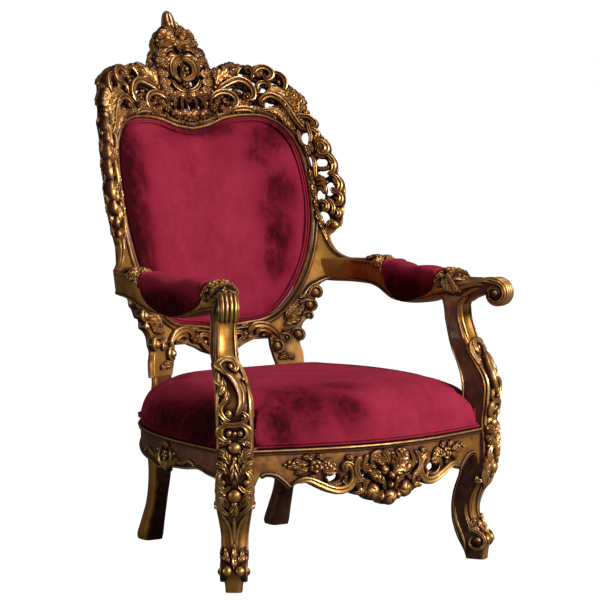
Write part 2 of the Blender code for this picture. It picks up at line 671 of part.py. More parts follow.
def trim_at_leg(bm, hand_side, gap=GAP):
    """Cuts a rail off flat against both front legs' side faces."""
    for flip in (1, -1):
        across = turned(LEG_TURN)[1]
        side = Vector((across.x * flip, across.y, 0)) * hand_side
        face = Vector((LEG_X * flip, LEG_Y, 0)) + side * (LEG_BLOCK + gap)
        parts = bm.verts[:] + bm.edges[:] + bm.faces[:]
        bmesh.ops.bisect_plane(bm, geom=parts, plane_co=face, plane_no=-side, clear_outer=True)
        bmesh.ops.holes_fill(bm, edges=[e for e in bm.edges if e.is_boundary])


def side_rail(name, hand):
    """A bowed side rail with a shallow scalloped foot and a small shell at its middle."""
    foot = [
        (-0.05, 0.270), (0.03, 0.290), (0.12, 0.300), (0.22, 0.292), (0.34, 0.286), (0.42, 0.276), (0.50, 0.284),
        (0.62, 0.290), (0.76, 0.302), (0.90, 0.306), (1.02, 0.300),
    ]
    outline = foot + [(1.02, RAIL_TOP), (-0.05, RAIL_TOP)]
    bm = board(outline, [], RAIL_THICKNESS, lambda u, v, proud: hand(on_side_rail(u, v, proud)), step=0.08)
    side = hand(turned(LEG_TURN)[1])
    face = hand((LEG_X, LEG_Y, 0)) + side * (LEG_BLOCK + GAP)
    post_face = hand((POST_SIDE_X + GAP, 0, 0))
    for point, normal in ((face, -side), (post_face, hand((-1, 0, 0)))):
        parts = bm.verts[:] + bm.edges[:] + bm.faces[:]
        bmesh.ops.bisect_plane(bm, geom=parts, plane_co=point, plane_no=normal, clear_outer=True)
        bmesh.ops.holes_fill(bm, edges=[e for e in bm.edges if e.is_boundary])
    rail = add_object(name, bm, gilt())

    def place(u, v, proud):
        return hand(on_side_rail(u, v, proud))

    shell = bmesh.new()
    bmesh.ops.create_uvsphere(shell, u_segments=6, v_segments=4, radius=1)
    for v in shell.verts:
        v.co = place(0.42 + 0.045 * v.co.x, 0.302 + 0.024 * v.co.y, 0.010 * v.co.z)
    return join_carvings(rail, [carving(shell)])


def rear_rail():
    """The plain rail between the rear legs."""
    half, foot = REAR_LEG_X - REAR_LEG_WIDTH / 2 - GAP, 0.300
    bm = bmesh.new()
    bmesh.ops.create_cube(bm, size=1)
    for v in bm.verts:
        v.co = (2 * half * v.co.x, REAR_RAIL_Y + RAIL_THICKNESS * v.co.y, (foot + RAIL_TOP) / 2 + (RAIL_TOP - foot) * v.co.z)
    bmesh.ops.bevel(bm, geom=bm.edges[:], offset=0.003, segments=1, affect="EDGES")
    return add_object("rear_rail", bm, gilt())


def seat_outline():
    """The seat's plan, counter-clockwise from the front middle, just inside the rails' outer faces."""
    inset = 0.006
    right = [on_front_rail(x, 0, -inset).to_2d() for x in (0.0, 0.06, 0.12, 0.18, 0.24, 0.30, 0.35)]
    right += [Vector((0.405, -0.372))]
    right += [on_side_rail(k / 10, 0, -inset).to_2d() for k in range(0, 9)]
    right += [Vector((0.300, 0.272)), Vector((0.200, 0.280)), Vector((0.080, 0.284))]
    return right + [Vector((-p.x, p.y)) for p in reversed(right[1:])]


def seat_cushion():
    """The stuffed seat: upright sides over the rails, rounding over into a crowned top."""
    outline = seat_outline()
    centre = Vector((0, -0.06))
    foot = RAIL_TOP + GAP
    # (share of the way out from the centre, height)
    profile = [(0.985, 0.000), (1.003, 0.020), (0.980, 0.064), (0.912, 0.098), (0.76, 0.124), (0.40, 0.141)]
    bm = loft([[(*(centre + (p - centre) * share), foot + rise) for p in outline] for share, rise in profile])
    seat = add_object("seat_cushion", bm, velvet())
    for flip in (1, -1):
        notch_box(seat, flip)
    return seat


def notch_box(seat, flip):
    """Cuts the seat round one arm support."""
    bm = bmesh.new()
    bmesh.ops.create_cube(bm, size=1)
    low, high = RAIL_TOP - 0.05, SEAT_CROWN + 0.1
    clear, back, front = 0.0525, -0.046, 0.160
    for v in bm.verts:
        out = (front + back) / 2 + (front - back) * v.co.x
        p = on_leg(out, RAIL_TOP, 2 * clear * v.co.y)
        v.co = (p.x * flip, p.y, (low + high) / 2 + (high - low) * v.co.z)
    cutter = carving(bm)
    cutter.name = "leg_notch"
    cut = seat.modifiers.new("leg_notch", "BOOLEAN")
    cut.operation = "DIFFERENCE"
    cut.object = cutter
    cut.solver = "EXACT"


def panel_pad(name, back_d, front_edge_d, crown, shares=(0.92, 0.68, 0.36)):
    """A pad that fills the back's opening, level behind and crowned in front; shares are its rings' sizes."""
    loop = panel_loop()
    middle = Vector((0, 0.900))
    rim = []
    for i, p in enumerate(loop):
        before, after = Vector(loop[i - 1]), Vector(loop[(i + 1) % len(loop)])
        inward = Vector((after.y - before.y, before.x - after.x)).normalized()
        if inward.dot(middle - Vector(p)) < 0:
            inward = -inward
        rim.append(Vector(p) + inward * HAIR)
    shells = [(share, back_d) for share in shares[::-1]] + [(1, back_d), (1, front_edge_d)]
    shells += [(share, front_edge_d + crown * (1 - share**2.4)) for share in shares]
    rows = []
    for share, proud in shells:
        row = []
        for p in rim:
            q = middle + (p - middle) * share
            row.append(on_back(q.x, q.y, proud))
        rows.append(row)
    bm = loft(rows)
    bm.faces.ensure_lookup_table()
    for face, proud in ((bm.faces[-2], back_d), (bm.faces[-1], front_edge_d + crown)):
        poked = bmesh.ops.poke(bm, faces=[face])
        poked["verts"][0].co = on_back(middle.x, middle.y, proud)
    bmesh.ops.triangulate(bm, faces=bm.faces, quad_method="SHORT_EDGE")
    return add_object(name, bm, velvet())


def arm_pad(name, hand):
    """The stuffed pad that sits in the arm's saddle, dipping at its middle."""
    stations = np.array(ARM_STATIONS)
    heading = np.gradient(stations[:, :2], axis=0)
    rings = []
    for (x, y, _, top, _), (hx, hy) in zip(stations, heading):
        if y not in PAD_CROWNS:
            continue
        crown, half = PAD_CROWNS[y]
        across = Vector((hy, -hx, 0)).normalized()
        foot = top + GAP + 0.0004
        ring = [hand(Vector((x, y, foot)) + across * side) for side in (-half * 0.9, half * 0.9)]
        for k in range(9):
            a = math.pi * k / 8
            reach = half * math.copysign(abs(math.cos(a)) ** 0.7, math.cos(a))
            rise = (crown - foot) * (0.18 + 0.82 * math.sin(a) ** 0.8)
            ring.append(hand(Vector((x, y, foot + rise)) + across * reach))
        rings.append(ring)
    return add_object(name, loft(rings), velvet())


def clear_scene():
    for old in list(bpy.data.objects):
        bpy.data.objects.remove(old)


def main():
    clear_scene()
    throne = bpy.data.objects.new("throne", None)
    crest_rail()
    add_pair("back_post", back_post)
    low_back_rail()
    add_pair("front_leg", front_leg)
    add_pair("arm", arm)
    front_rail()
    add_pair("side_rail", side_rail)
    rear_rail()
    seat_cushion()
    panel_pad("back_cushion", -0.022, -0.004, 0.026)
    panel_pad("outside_back", -BACK_THICKNESS + 0.002, -0.022 - 2 * GAP, 0.0)
    add_pair("arm_pad", arm_pad)
    for made in list(bpy.data.objects):
        if made != throne:
            made.parent = throne
    bpy.context.scene.collection.objects.link(throne)
    throne.matrix_world = Matrix.Translation((0, PLAN_SHIFT, 0))


main()
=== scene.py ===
import math

import bmesh
import bpy
import numpy as np
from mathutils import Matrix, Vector


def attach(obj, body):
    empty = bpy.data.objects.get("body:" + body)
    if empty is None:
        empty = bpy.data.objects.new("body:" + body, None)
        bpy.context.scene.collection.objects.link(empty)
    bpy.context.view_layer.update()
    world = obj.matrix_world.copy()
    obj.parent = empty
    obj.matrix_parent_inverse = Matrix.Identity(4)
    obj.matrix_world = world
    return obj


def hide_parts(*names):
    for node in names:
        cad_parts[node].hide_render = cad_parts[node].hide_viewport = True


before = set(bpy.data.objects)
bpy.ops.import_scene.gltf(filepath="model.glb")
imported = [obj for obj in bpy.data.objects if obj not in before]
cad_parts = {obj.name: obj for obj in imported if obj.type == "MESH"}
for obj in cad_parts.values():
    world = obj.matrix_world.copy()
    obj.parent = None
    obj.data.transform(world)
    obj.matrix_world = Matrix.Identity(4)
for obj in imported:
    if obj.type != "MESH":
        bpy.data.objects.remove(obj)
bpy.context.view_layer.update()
rng = np.random.default_rng(7)

# the faces that the carver works on: how the back leans and wraps, how the rails bow, how the legs turn out
back = {
    "z": 0.531, "y": 0.267, "lean": 0.14, "leanGrowth": 0.16, "wrap": 0.85,
    "wingX": 0.30, "wingWrap": 2.35, "squeeze": 1.2, "thinning": 9.0,
}
rail = {"top": 0.365, "frontY": -0.474, "bow": 0.085, "span": 0.76}
sideCurve = np.array([(0.424, -0.398), (0.440, -0.192), (0.436, 0.093), (0.236, 0.240)])
leg = {
    "x": 0.384, "y": -0.433, "round": 0.016,
    "turn": math.radians(35), "supportTurn": math.radians(18), "twist": (0.46, 0.62),
    "lean": [  # (height, how far the post stands to the outer side there)
        (0.000, 0.004), (0.206, 0.003), (0.240, 0.000), (0.430, 0.000), (0.490, 0.003), (0.535, 0.010),
        (0.570, 0.015), (0.600, 0.016), (0.630, 0.014), (0.655, 0.013), (0.690, 0.012), (0.800, 0.012),
    ],
}
neckFrame = {"x": 0.3742, "y": -0.3641, "turn": math.radians(27)}


def together(*values):
    return np.broadcast_arrays(*(np.asarray(value, float) for value in values))


def unit(vectors):
    return vectors / np.maximum(np.linalg.norm(vectors, axis=-1, keepdims=True), 1e-9)


def onBack(u, v, proud):
    u, v, proud = together(u, v, proud)
    past = np.maximum(0, np.abs(u) - back["wingX"])
    x = np.sign(u) * (np.abs(u) - back["squeeze"] * past**2)
    turn = np.maximum(0, np.abs(x) - back["wingX"])
    rise = v - back["z"]
    y = back["y"] + back["lean"] * rise + back["leanGrowth"] * rise**2
    y = y - back["wrap"] * x**2 - back["wingWrap"] * turn**2
    aside = -2 * back["wrap"] * x - 2 * back["wingWrap"] * np.sign(x) * turn
    normal = unit(np.stack([aside, -np.ones_like(x), back["lean"] + 2 * back["leanGrowth"] * rise], -1))
    thin = np.maximum(0.4, 1 - back["thinning"] * past) * np.clip(0.65 + 2.5 * (v - 0.62), 0.65, 1)
    depth = np.where(proud < 0, proud * thin, proud)
    return np.stack([x, y, v], -1) + normal * depth[..., None]


def onFrontRail(u, v, proud):
    u, v, proud = together(u, v, proud)
    return np.stack([u, rail["frontY"] - rail["bow"] * np.cos(math.pi * u / rail["span"]) - proud, v], -1)


def onSideRail(u, v, proud):  # u runs from 0 at the front leg to 1 at the rear one
    u, v, proud = together(u, v, proud)
    a, b, c, d = sideCurve
    t = u[..., None]
    at = a * (1 - t) ** 3 + 3 * b * (1 - t) ** 2 * t + 3 * c * (1 - t) * t**2 + d * t**3
    heading = unit((b - a) * (1 - t) ** 2 + 2 * (c - b) * (1 - t) * t + (d - c) * t**2)
    return np.stack([at[..., 0] + heading[..., 1] * proud, at[..., 1] - heading[..., 0] * proud, v], -1)


def onLeg(out, side, z):  # out is along the plane that the leg stands in, side is square to it
    out, side, z = together(out, side, z)
    low, high = leg["twist"]
    share = np.clip((z - low) / (high - low), 0, 1)
    turn = leg["turn"] + (leg["supportTurn"] - leg["turn"]) * share * share * (3 - 2 * share)
    heights, leans = np.array(leg["lean"]).T
    side = side + np.interp(z, heights, leans)
    s, c = np.sin(turn), np.cos(turn)
    return np.stack([leg["x"] + s * out + c * side, leg["y"] - c * out + s * side, z], -1)


def onNeck(out, side, z):  # the same for the arm's rolled end, from the support's head
    out, side, z = together(out, side, z)
    s, c = math.sin(neckFrame["turn"]), math.cos(neckFrame["turn"])
    return np.stack([neckFrame["x"] + s * out + c * side, neckFrame["y"] - c * out + s * side, z], -1)


def wrapped(u, halfWidth, corner):  # walks a breadth u over a rounded corner and down the side
    flat = halfWidth - corner
    angle = np.clip((np.abs(u) - flat) / corner, 0, math.pi / 2)
    side = np.sign(u) * (np.minimum(np.abs(u), flat) + corner * np.sin(angle))
    drop = corner * (1 - np.cos(angle)) + np.maximum(0, np.abs(u) - flat - corner * math.pi / 2)
    return side, drop, np.sign(u) * np.sin(angle), np.cos(angle)


def smooth(points, per=8, closed=False):
    p = np.array(points, float)
    n = len(p)
    t = (np.arange(per) / per)[:, None]
    found = []
    for i in range(n if closed else n - 1):
        a, b, c, d = (p[(i + k) % n] if closed else p[min(max(i + k, 0), n - 1)] for k in (-1, 0, 1, 2))
        bend, twist = 2 * a - 5 * b + 4 * c - d, 3 * b - a - 3 * c + d
        found.append(0.5 * (2 * b + (c - a) * t + bend * t**2 + twist * t**3))
    if not closed:
        found.append(p[-1:])
    return np.concatenate(found)


def distancesAlong(path):
    return np.r_[0, np.cumsum(np.linalg.norm(np.diff(path, axis=0), axis=1))]


def evenly(path, count, closed=False):
    path = np.asarray(path, float)
    if closed:
        path = np.vstack([path, path[:1]])
    steps = distancesAlong(path)
    at = np.linspace(0, steps[-1], count + 1 if closed else count)
    found = np.stack([np.interp(at, steps, path[:, k]) for k in range(path.shape[1])], -1)
    return found[:-1] if closed else found


def lengthOf(path):
    return float(distancesAlong(path)[-1])


def leftOf(path, closed=False):
    d = np.roll(path, -1, 0) - np.roll(path, 1, 0) if closed else np.gradient(path, axis=0)
    d = unit(d)
    return np.stack([-d[:, 1], d[:, 0]], -1)


def tubeFaces(n, m, closed=False):  # the faces of n rings of m points, with end caps unless the rings close
    faces = []
    for i in range(n if closed else n - 1):
        a, b = i * m, (i + 1) % n * m
        faces += [(a + j, a + (j + 1) % m, b + (j + 1) % m, b + j) for j in range(m)]
    if not closed:
        faces += [tuple(range(m))[::-1], tuple((n - 1) * m + j for j in range(m))]
    return faces


# how full the carving is cut, and how finely
chisel = {
    "broad": 1.38, "deep": 1.08, "leafy": 1.40, "groove": 0.30, "stride": 1.0, "coarse": False,
    "recess": 0.04, "foot": -0.010,
}


# carved relief is flat points (u, v, proud), with a tone from 0 in a recess to 1 on a ridge, and faces
def newCarving():
    return {"points": [], "tones": [], "faces": [], "count": 0}


def addTo(carving, points, tones, faces):
    points = np.asarray(points, float).reshape(-1, 3)
    carving["points"].append(points)
    carving["tones"].append(np.broadcast_to(np.asarray(tones, float).reshape(-1), (len(points),)))
    carving["faces"] += [tuple(i + carving["count"] for i in f) for f in faces]
    carving["count"] += len(points)


def mirrored(carving):
    for points, tones in list(zip(carving["points"], carving["tones"])):
        carving["points"].append(points * (-1, 1, 1))
        carving["tones"].append(tones)
    carving["faces"] += [tuple(i + carving["count"] for i in f) for f in carving["faces"]]
    carving["count"] *= 2
    return carving


def carveSheet(carving, u, v, h, tone, foot):  # a grid of carved points, closed down to its foot
    rows, columns = u.shape
    top = np.stack([u, v, h], -1).reshape(-1, 3)
    low = top.reshape(rows, columns, 3)[:, [0, -1]].copy()
    low[..., 2] = foot
    faces = []
    n = rows * columns
    for i in range(rows - 1):
        a, b = i * columns, (i + 1) * columns
        faces += [(a + j, a + j + 1, b + j + 1, b + j) for j in range(columns - 1)]
        p, q = n + 2 * i, n + 2 * i + 2
        faces += [(a, b, q, p), (b + columns - 1, a + columns - 1, p + 1, q + 1), (p, q, q + 1, p + 1)]
    faces.append(tuple(range(columns)) + (n + 1, n))
    last = (rows - 1) * columns
    faces.append(tuple(range(last, last + columns)) + (n + 2 * rows - 1, n + 2 * rows - 2))
    tones = np.r_[tone.reshape(-1), np.full(2 * rows, chisel["recess"])]
    addTo(carving, np.vstack([top, low.reshape(-1, 3)]), tones, faces)


def curled(points, start=None, end=None):  # start and end are spirals: radius, turns, 1 or -1 for the side
    path = smooth(points, 9)
    for spiral, atEnd in ((start, False), (end, True)):
        if spiral is None:
            continue
        radius, turns, side = spiral
        run = path if atEnd else path[::-1]
        tip = run[-1]
        heading = unit(run[-1] - run[-2])
        inward = np.array([-heading[1], heading[0]]) * side
        steps = max(8, int(22 * turns))
        t = np.arange(1, steps + 1) / steps
        angle = side * 2 * math.pi * turns * t
        reach = radius * (1 - 0.80 * t**0.9)
        spin = np.stack([
            -inward[0] * np.cos(angle) + inward[1] * np.sin(angle),
            -inward[0] * np.sin(angle) - inward[1] * np.cos(angle),
        ], -1)
        run = np.vstack([run, tip + inward * radius + spin * reach[:, None]])
        path = run if atEnd else run[::-1]
    return path


def carveScroll(
    carving, points, width, height, lift=0.0, start=None, end=None, groove=None, foot=chisel["foot"],
):
    groove = chisel["groove"] if groove is None else groove
    width, height = width * chisel["broad"], height * chisel["deep"]
    path = curled(points, start, end)
    length = lengthOf(path)
    path = evenly(path, max(10, int(length / (0.0032 * chisel["stride"]))))
    t = np.linspace(0, 1, len(path))
    swell = 0.55 + 0.45 * np.sin(math.pi * t) ** 0.8
    for spiral, run in ((start, t), (end, 1 - t)):
        if spiral is None:
            swell = swell * np.clip(0.30 + run / 0.12, 0.30, 1)
        else:
            wound = 2 * math.pi * spiral[0] * spiral[1] * 0.62 / length
            swell = swell * np.clip(0.5 + 0.5 * run / wound, 0.5, 1)
    side = np.array([-1, -0.9, -0.7, -0.46, -0.22, 0, 0.22, 0.46, 0.7, 0.9, 1])
    side = side[[0, 1, 3, 5, 7, 9, 10]] if chisel["coarse"] else side
    shape = (1 - np.abs(side) ** 4.5) ** 0.7 * (1 - groove * np.exp(-((side / 0.36) ** 2)))
    across = leftOf(path)
    w = width / 2 * swell
    u = path[:, :1] + across[:, :1] * w[:, None] * side
    v = path[:, 1:] + across[:, 1:] * w[:, None] * side
    h = lift + (height * (0.45 + 0.55 * swell))[:, None] * shape
    tone = np.broadcast_to(0.16 + 0.68 * (shape / shape.max()) ** 1.3, h.shape)
    carveSheet(carving, u, v, h, tone, foot)
    for spiral, eye in ((start, path[0]), (end, path[-1])):
        if spiral is not None:
            carveBead(carving, eye[0], eye[1], max(0.0035, spiral[0] * 0.40), lift + height * 0.35)


def carveLeaf(carving, points, width, height, lift=0.0, lobes=4, curl=0.0, half=0, foot=chisel["foot"]):
    width, height = width * chisel["leafy"], height * chisel["deep"]
    path = smooth(points, 9)
    n = int(max((3 if chisel["coarse"] else 4) * lobes + 3, lengthOf(path) / (0.0026 * chisel["stride"])))
    path = evenly(path, n)
    t = np.linspace(0, 1, n)[:, None]
    columns = 9 if half or chisel["coarse"] else 13
    side = np.linspace(-0.12, 1, columns)[None, :] * half if half else np.linspace(-1, 1, columns)[None, :]
    reach = np.abs(side)
    phase = 0.62 * lobes * (1.55 * t - 0.55 * reach) + 0.15
    flute = 0.42 + 0.58 * np.abs(np.sin(math.pi * phase)) ** 0.8
    envelope = np.sin(math.pi * t**0.75) ** 0.6 * (1 - 0.22 * t) + 0.12 * (1 - t) + 0.03
    edge = 0.60 + 0.40 * np.abs(np.sin(math.pi * (0.62 * lobes * (1.55 * t - 0.55) + 0.15))) ** 0.6
    w = width / 2 * envelope * (1 - (1 - edge) * reach**1.5)
    forward = 0.42 * width * reach**1.3 * envelope
    across = leftOf(path)
    u = path[:, :1] + across[:, :1] * w * side + across[:, 1:] * forward
    v = path[:, 1:] + across[:, 1:] * w * side - across[:, :1] * forward
    body = (1 - reach**2.6) ** 0.6
    groove = 1 - 0.30 * np.exp(-((side / 0.13) ** 2))
    rise = 0.55 + 0.45 * np.sin(math.pi * np.clip(t * 0.9 + 0.1, 0, 1))
    h = height * rise * body * (1 - (1 - flute) * np.clip(reach * 2.6, 0, 1)) * groove
    h = lift + h + curl * t**2.5 * (1 - 0.5 * reach**2)
    tone = np.clip(0.12 + 0.80 * body * (0.25 + 0.75 * flute) * groove, 0, 1) + 0 * t
    carveSheet(carving, u, v, h, tone, foot)


def carveRound(carving, u, v, radius, heights, tones, reach, foot, angles, closed=True):
    rings, n = heights.shape[0], len(angles)
    share = np.linspace(0, 1, rings)[1:, None]
    pu = u + radius * share * reach * np.cos(angles)
    pv = v + radius * share * reach * np.sin(angles)
    top = np.stack([pu, pv, heights[1:]], -1).reshape(-1, 3)
    low = top[-n:].copy()
    low[:, 2] = foot
    faces = []
    span = n if closed else n - 1
    for i in range(rings - 2):
        a, b = 1 + i * n, 1 + (i + 1) * n
        faces += [(a + j, b + j, b + (j + 1) % n, a + (j + 1) % n) for j in range(span)]
    base, last = 1 + (rings - 1) * n, 1 + (rings - 2) * n
    for j in range(span):
        k = (j + 1) % n
        faces += [(0, 1 + j, 1 + k), (last + j, base + j, base + k, last + k), (base + n, base + k, base + j)]
    if not closed:
        for j in (0, n - 1):
            faces.append((0,) + tuple(1 + i * n + j for i in range(rings - 1)) + (base + j, base + n))
    points = np.vstack([[(u, v, heights[0].mean())], top, low, [(u, v, foot)]])
    tones = np.r_[tones[0].mean(), tones[1:].reshape(-1), np.full(n + 1, chisel["recess"])]
    addTo(carving, points, tones, faces)


def carveFlower(carving, u, v, radius, height, petals=5, lift=0.0, turn=0.0, foot=chisel["foot"]):
    angles = np.arange(petals * 8) * 2 * math.pi / (petals * 8)
    r = np.linspace(0, 1, 9)[:, None]
    lobe = np.abs(np.cos(petals * (angles + turn) / 2 + 1.1 * r))
    middle = 0.70 + 0.35 * np.sqrt(np.clip(1 - (r / 0.28) ** 2, 0, 1))
    swell = 0.34 + 0.60 * np.sin(math.pi * np.clip((r - 0.3) / 0.7, 0, 1) ** 0.95)
    h = np.where(r < 0.3, middle, swell * (0.46 + 0.54 * lobe**0.45))
    h[-1] = 0.12
    tone = np.clip(np.where(r < 0.3, 0.78, 0.06 + 0.82 * h), 0, 1)
    carveRound(carving, u, v, radius, lift + height * h, tone, 0.78 + 0.22 * lobe[-1] ** 0.5, foot, angles)


# a round boss with swept grooves
def carveBud(carving, u, v, radius, height, flutes=3, lift=0.0, way=1, foot=chisel["foot"]):
    angles = np.arange(28) * 2 * math.pi / 28
    r = np.linspace(0, 1, 9)[:, None]
    dome = np.sqrt(1 - (0.985 * r) ** 2)
    swept = np.sin(flutes * (angles + way * 1.5 * r) / 2)
    groove = np.exp(-((swept / 0.24) ** 2)) * np.clip(1.8 * r, 0, 1)
    h = dome * (1 - 0.34 * groove)
    tone = (0.18 + 0.58 * dome**1.5) * (1 - 0.60 * groove)
    carveRound(carving, u, v, radius, lift + height * h, tone, 1 + 0 * angles, foot, angles)


def carveShell(carving, u, v, radius, height, facing, spread=200, ribs=7, lift=0.0, foot=chisel["foot"]):
    share = np.linspace(-0.5, 0.5, ribs * 6 + 1)
    angles = math.radians(facing) + share * math.radians(spread)
    rib = np.abs(np.sin(math.pi * ribs * (share + 0.5)))
    reach = (0.82 + 0.18 * rib**0.5) * (1 - 0.22 * (2 * share) ** 2)
    r = np.linspace(0, 1, 8)[:, None]
    cut = np.clip(r * 2.4, 0, 1)
    h = (0.35 + 0.65 * np.sin(math.pi * (0.18 + 0.72 * r)) ** 0.8) * (1 - 0.58 * cut * (1 - rib**0.6))
    h[-1] *= 0.55
    tones = np.clip(0.04 + 0.82 * h, 0, 1)
    carveRound(carving, u, v, radius, lift + height * h, tones, reach, foot, angles, False)


def carveBead(carving, u, v, radius, lift=0.0, stretch=(1, 1, 1), degrees=0.0):
    rings, n = (5, 8) if chisel["coarse"] else (6, 10)
    a = (math.pi * np.arange(1, rings) / rings)[:, None]
    b = 2 * math.pi * np.arange(n)[None, :] / n
    body = np.stack([np.sin(a) * np.cos(b), np.sin(a) * np.sin(b), np.cos(a) + 0 * b], -1).reshape(-1, 3)
    p = np.vstack([[(0, 0, 1)], body, [(0, 0, -1)]]) * stretch * radius
    tones = 0.18 + 0.62 * np.maximum(0, p[:, 2] / max(p[0, 2], 1e-6)) ** 0.5
    tip = len(p) - 1
    faces = [(0, 1 + j, 1 + (j + 1) % n) for j in range(n)]
    for i in range(rings - 2):
        c, d = 1 + i * n, 1 + (i + 1) * n
        faces += [(c + j, d + j, d + (j + 1) % n, c + (j + 1) % n) for j in range(n)]
    faces += [(tip - n + j, tip, tip - n + (j + 1) % n) for j in range(n)]
    c, s = math.cos(math.radians(degrees)), math.sin(math.radians(degrees))
    turned = np.stack([p[:, 0] * c - p[:, 1] * s + u, p[:, 0] * s + p[:, 1] * c + v, p[:, 2] + lift], -1)
    addTo(carving, turned, tones, faces)


def carveMoulding(carving, path, profile, closed=False):  # profile is a ring of (to the right, proud, tone)
    path = np.asarray(path, float)
    across = leftOf(path, closed)
    ring = np.array(profile, float)
    n, m = len(path), len(ring)
    u = path[:, :1] - across[:, :1] * ring[:, 0]
    v = path[:, 1:] - across[:, 1:] * ring[:, 0]
    h = np.broadcast_to(ring[:, 1], u.shape)
    tones = np.broadcast_to(ring[:, 2], u.shape)
    addTo(carving, np.stack([u, v, h], -1), tones, tubeFaces(n, m, closed))


# which values of an ornament are lengths: the plans are drawn in millimetres
ornament = {
    "scrolls": (carveScroll, (0, 1, 2, 3, 7)), "leaves": (carveLeaf, (0, 1, 2, 3, 5, 7)),
    "flowers": (carveFlower, (0, 1, 2, 3, 5, 7)), "buds": (carveBud, (0, 1, 2, 3, 5, 7)),
    "shells": (carveShell, (0, 1, 2, 3, 7, 8)), "beads": (carveBead, (0, 1, 2, 3)),
}


def inMetres(kind, values):
    found = [np.array(v) / 1000 if k in ornament[kind][1] else v for k, v in enumerate(values)]
    if kind == "scrolls":
        found[4:6] = [spiral and (spiral[0] / 1000, *spiral[1:]) for spiral in found[4:6]]
    return found


def carve(plan):  # everything in a piece's plan of ornament
    carving = newCarving()
    for kind, (carver, _) in ornament.items():
        for values in plan.get(kind, []):
            carver(carving, *inMetres(kind, values))
    return carving


def placed(carving, surface):  # a carving laid on a member's face
    flat = np.vstack(carving["points"])
    return surface(flat[:, 0], flat[:, 1], flat[:, 2]), np.concatenate(carving["tones"]), carving["faces"]


def flipped(part):  # the same for the left half
    points, tones, faces = part
    return points * (-1, 1, 1), tones, faces


# a board cut to an outline, with eased edges; its piercings may widen towards the back
def sawnBoard(outline, holes, front, thickness, surface, step=0.012, tone=0.55, undercut=0.0):
    ease = 0.0028
    curve = bpy.data.curves.new("sawnBoard", "CURVE")
    curve.dimensions, curve.fill_mode = "2D", "BOTH"
    curve.extrude, curve.bevel_depth = thickness / 2 - ease, ease
    curve.bevel_resolution, curve.offset = 2, -ease
    for ring in [outline] + holes:
        strip = curve.splines.new("POLY")
        strip.points.add(len(ring) - 1)
        for point, (u, v) in zip(strip.points, ring):
            point.co = (u, v, 0, 1)
        strip.use_cyclic_u = True
    flat = bpy.data.objects.new("sawnBoard", curve)
    mesh = bpy.data.meshes.new_from_object(flat)
    bpy.data.objects.remove(flat)
    bm = bmesh.new()
    bm.from_mesh(mesh)
    bpy.data.meshes.remove(mesh)
    bmesh.ops.remove_doubles(bm, verts=bm.verts, dist=2e-5)
    across = [v.co.x for v in bm.verts]
    for k in range(math.floor(min(across) / step) + 1, math.ceil(max(across) / step)):
        parts = bm.verts[:] + bm.edges[:] + bm.faces[:]
        bmesh.ops.bisect_plane(bm, geom=parts, plane_co=(k * step, 0, 0), plane_no=(1, 0, 0), dist=1e-5)
    points = np.array([v.co for v in bm.verts])
    bm.verts.index_update()
    faces = [tuple(v.index for v in f.verts) for f in bm.faces]
    bm.free()
    depth = points[:, 2] - thickness / 2 + front
    tones = np.where(points[:, 2] > thickness / 2 - ease * 1.01, tone, tone * 0.6)
    if undercut:
        flatPoints = points[:, :2].copy()
        rings = [evenly(ring, 240, True) for ring in [outline] + holes]
        away = np.array([np.sqrt(((flatPoints[:, None] - ring) ** 2).sum(-1).min(1)) for ring in rings])
        for k, ring in enumerate(rings[1:], 1):
            reach = np.minimum(undercut, 0.36 * np.delete(away, k, 0).min(0))
            reach = reach * (0.5 - points[:, 2] / thickness)
            outward = unit(flatPoints - ring.mean(0))
            points[:, :2] += outward * np.where(away[k] < 1.6 * ease, reach, 0)[:, None]
    return surface(points[:, 0], points[:, 1], depth), tones, faces


def lofted(rings, tones=None):  # a closed body through rings of points
    rings = np.asarray(rings, float)
    n, m = rings.shape[:2]
    tones = np.full((n, m), 0.60) if tones is None else np.broadcast_to(tones, (n, m))
    return rings.reshape(-1, 3), tones.reshape(-1), tubeFaces(n, m)


def roundedRing(halfA, halfB, sides=24, square=3.2):
    a = 2 * math.pi * (np.arange(sides) + 0.5) / sides
    reach = (np.abs(np.cos(a)) ** square + np.abs(np.sin(a)) ** square) ** (-1 / square)
    return halfA * np.cos(a) * reach, halfB * np.sin(a) * reach


def select(*pieces):
    bpy.ops.object.select_all(action="DESELECT")
    for piece in pieces:
        piece.select_set(True)
    bpy.context.view_layer.objects.active = pieces[-1]


def meshPiece(name, points, faces):
    mesh = bpy.data.meshes.new(name)
    mesh.from_pydata(points.tolist(), [], faces)
    piece = bpy.data.objects.new(name, mesh)
    bpy.context.scene.collection.objects.link(piece)
    select(piece)
    bpy.ops.object.mode_set(mode="EDIT")
    bpy.ops.mesh.select_all(action="SELECT")
    bpy.ops.mesh.normals_make_consistent(inside=False)
    bpy.ops.object.mode_set(mode="OBJECT")
    return piece


def mark(piece, name, amounts):  # a number at every point of the mesh, which the finish reads
    found = piece.data.attributes.new(name, "FLOAT", "POINT")
    found.data.foreach_set("value", np.asarray(amounts, np.float32))


def pieceFrom(name, parts, sharp=48):  # one finished mesh from parts that are already in place
    faces, offset = [], 0
    for points, _, ring in parts:
        faces += [tuple(i + offset for i in face) for face in ring]
        offset += len(points)
    piece = meshPiece(name, np.vstack([points for points, _, _ in parts]), faces)
    mark(piece, "reliefAndShade", np.concatenate([tones for _, tones, _ in parts]))
    bpy.ops.object.shade_smooth_by_angle(angle=math.radians(sharp))
    return piece


def finished(piece, node, finish):
    piece.data.materials.clear()
    piece.data.materials.append(finish)
    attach(piece, "root")
    if node:
        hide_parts(node)
    return piece


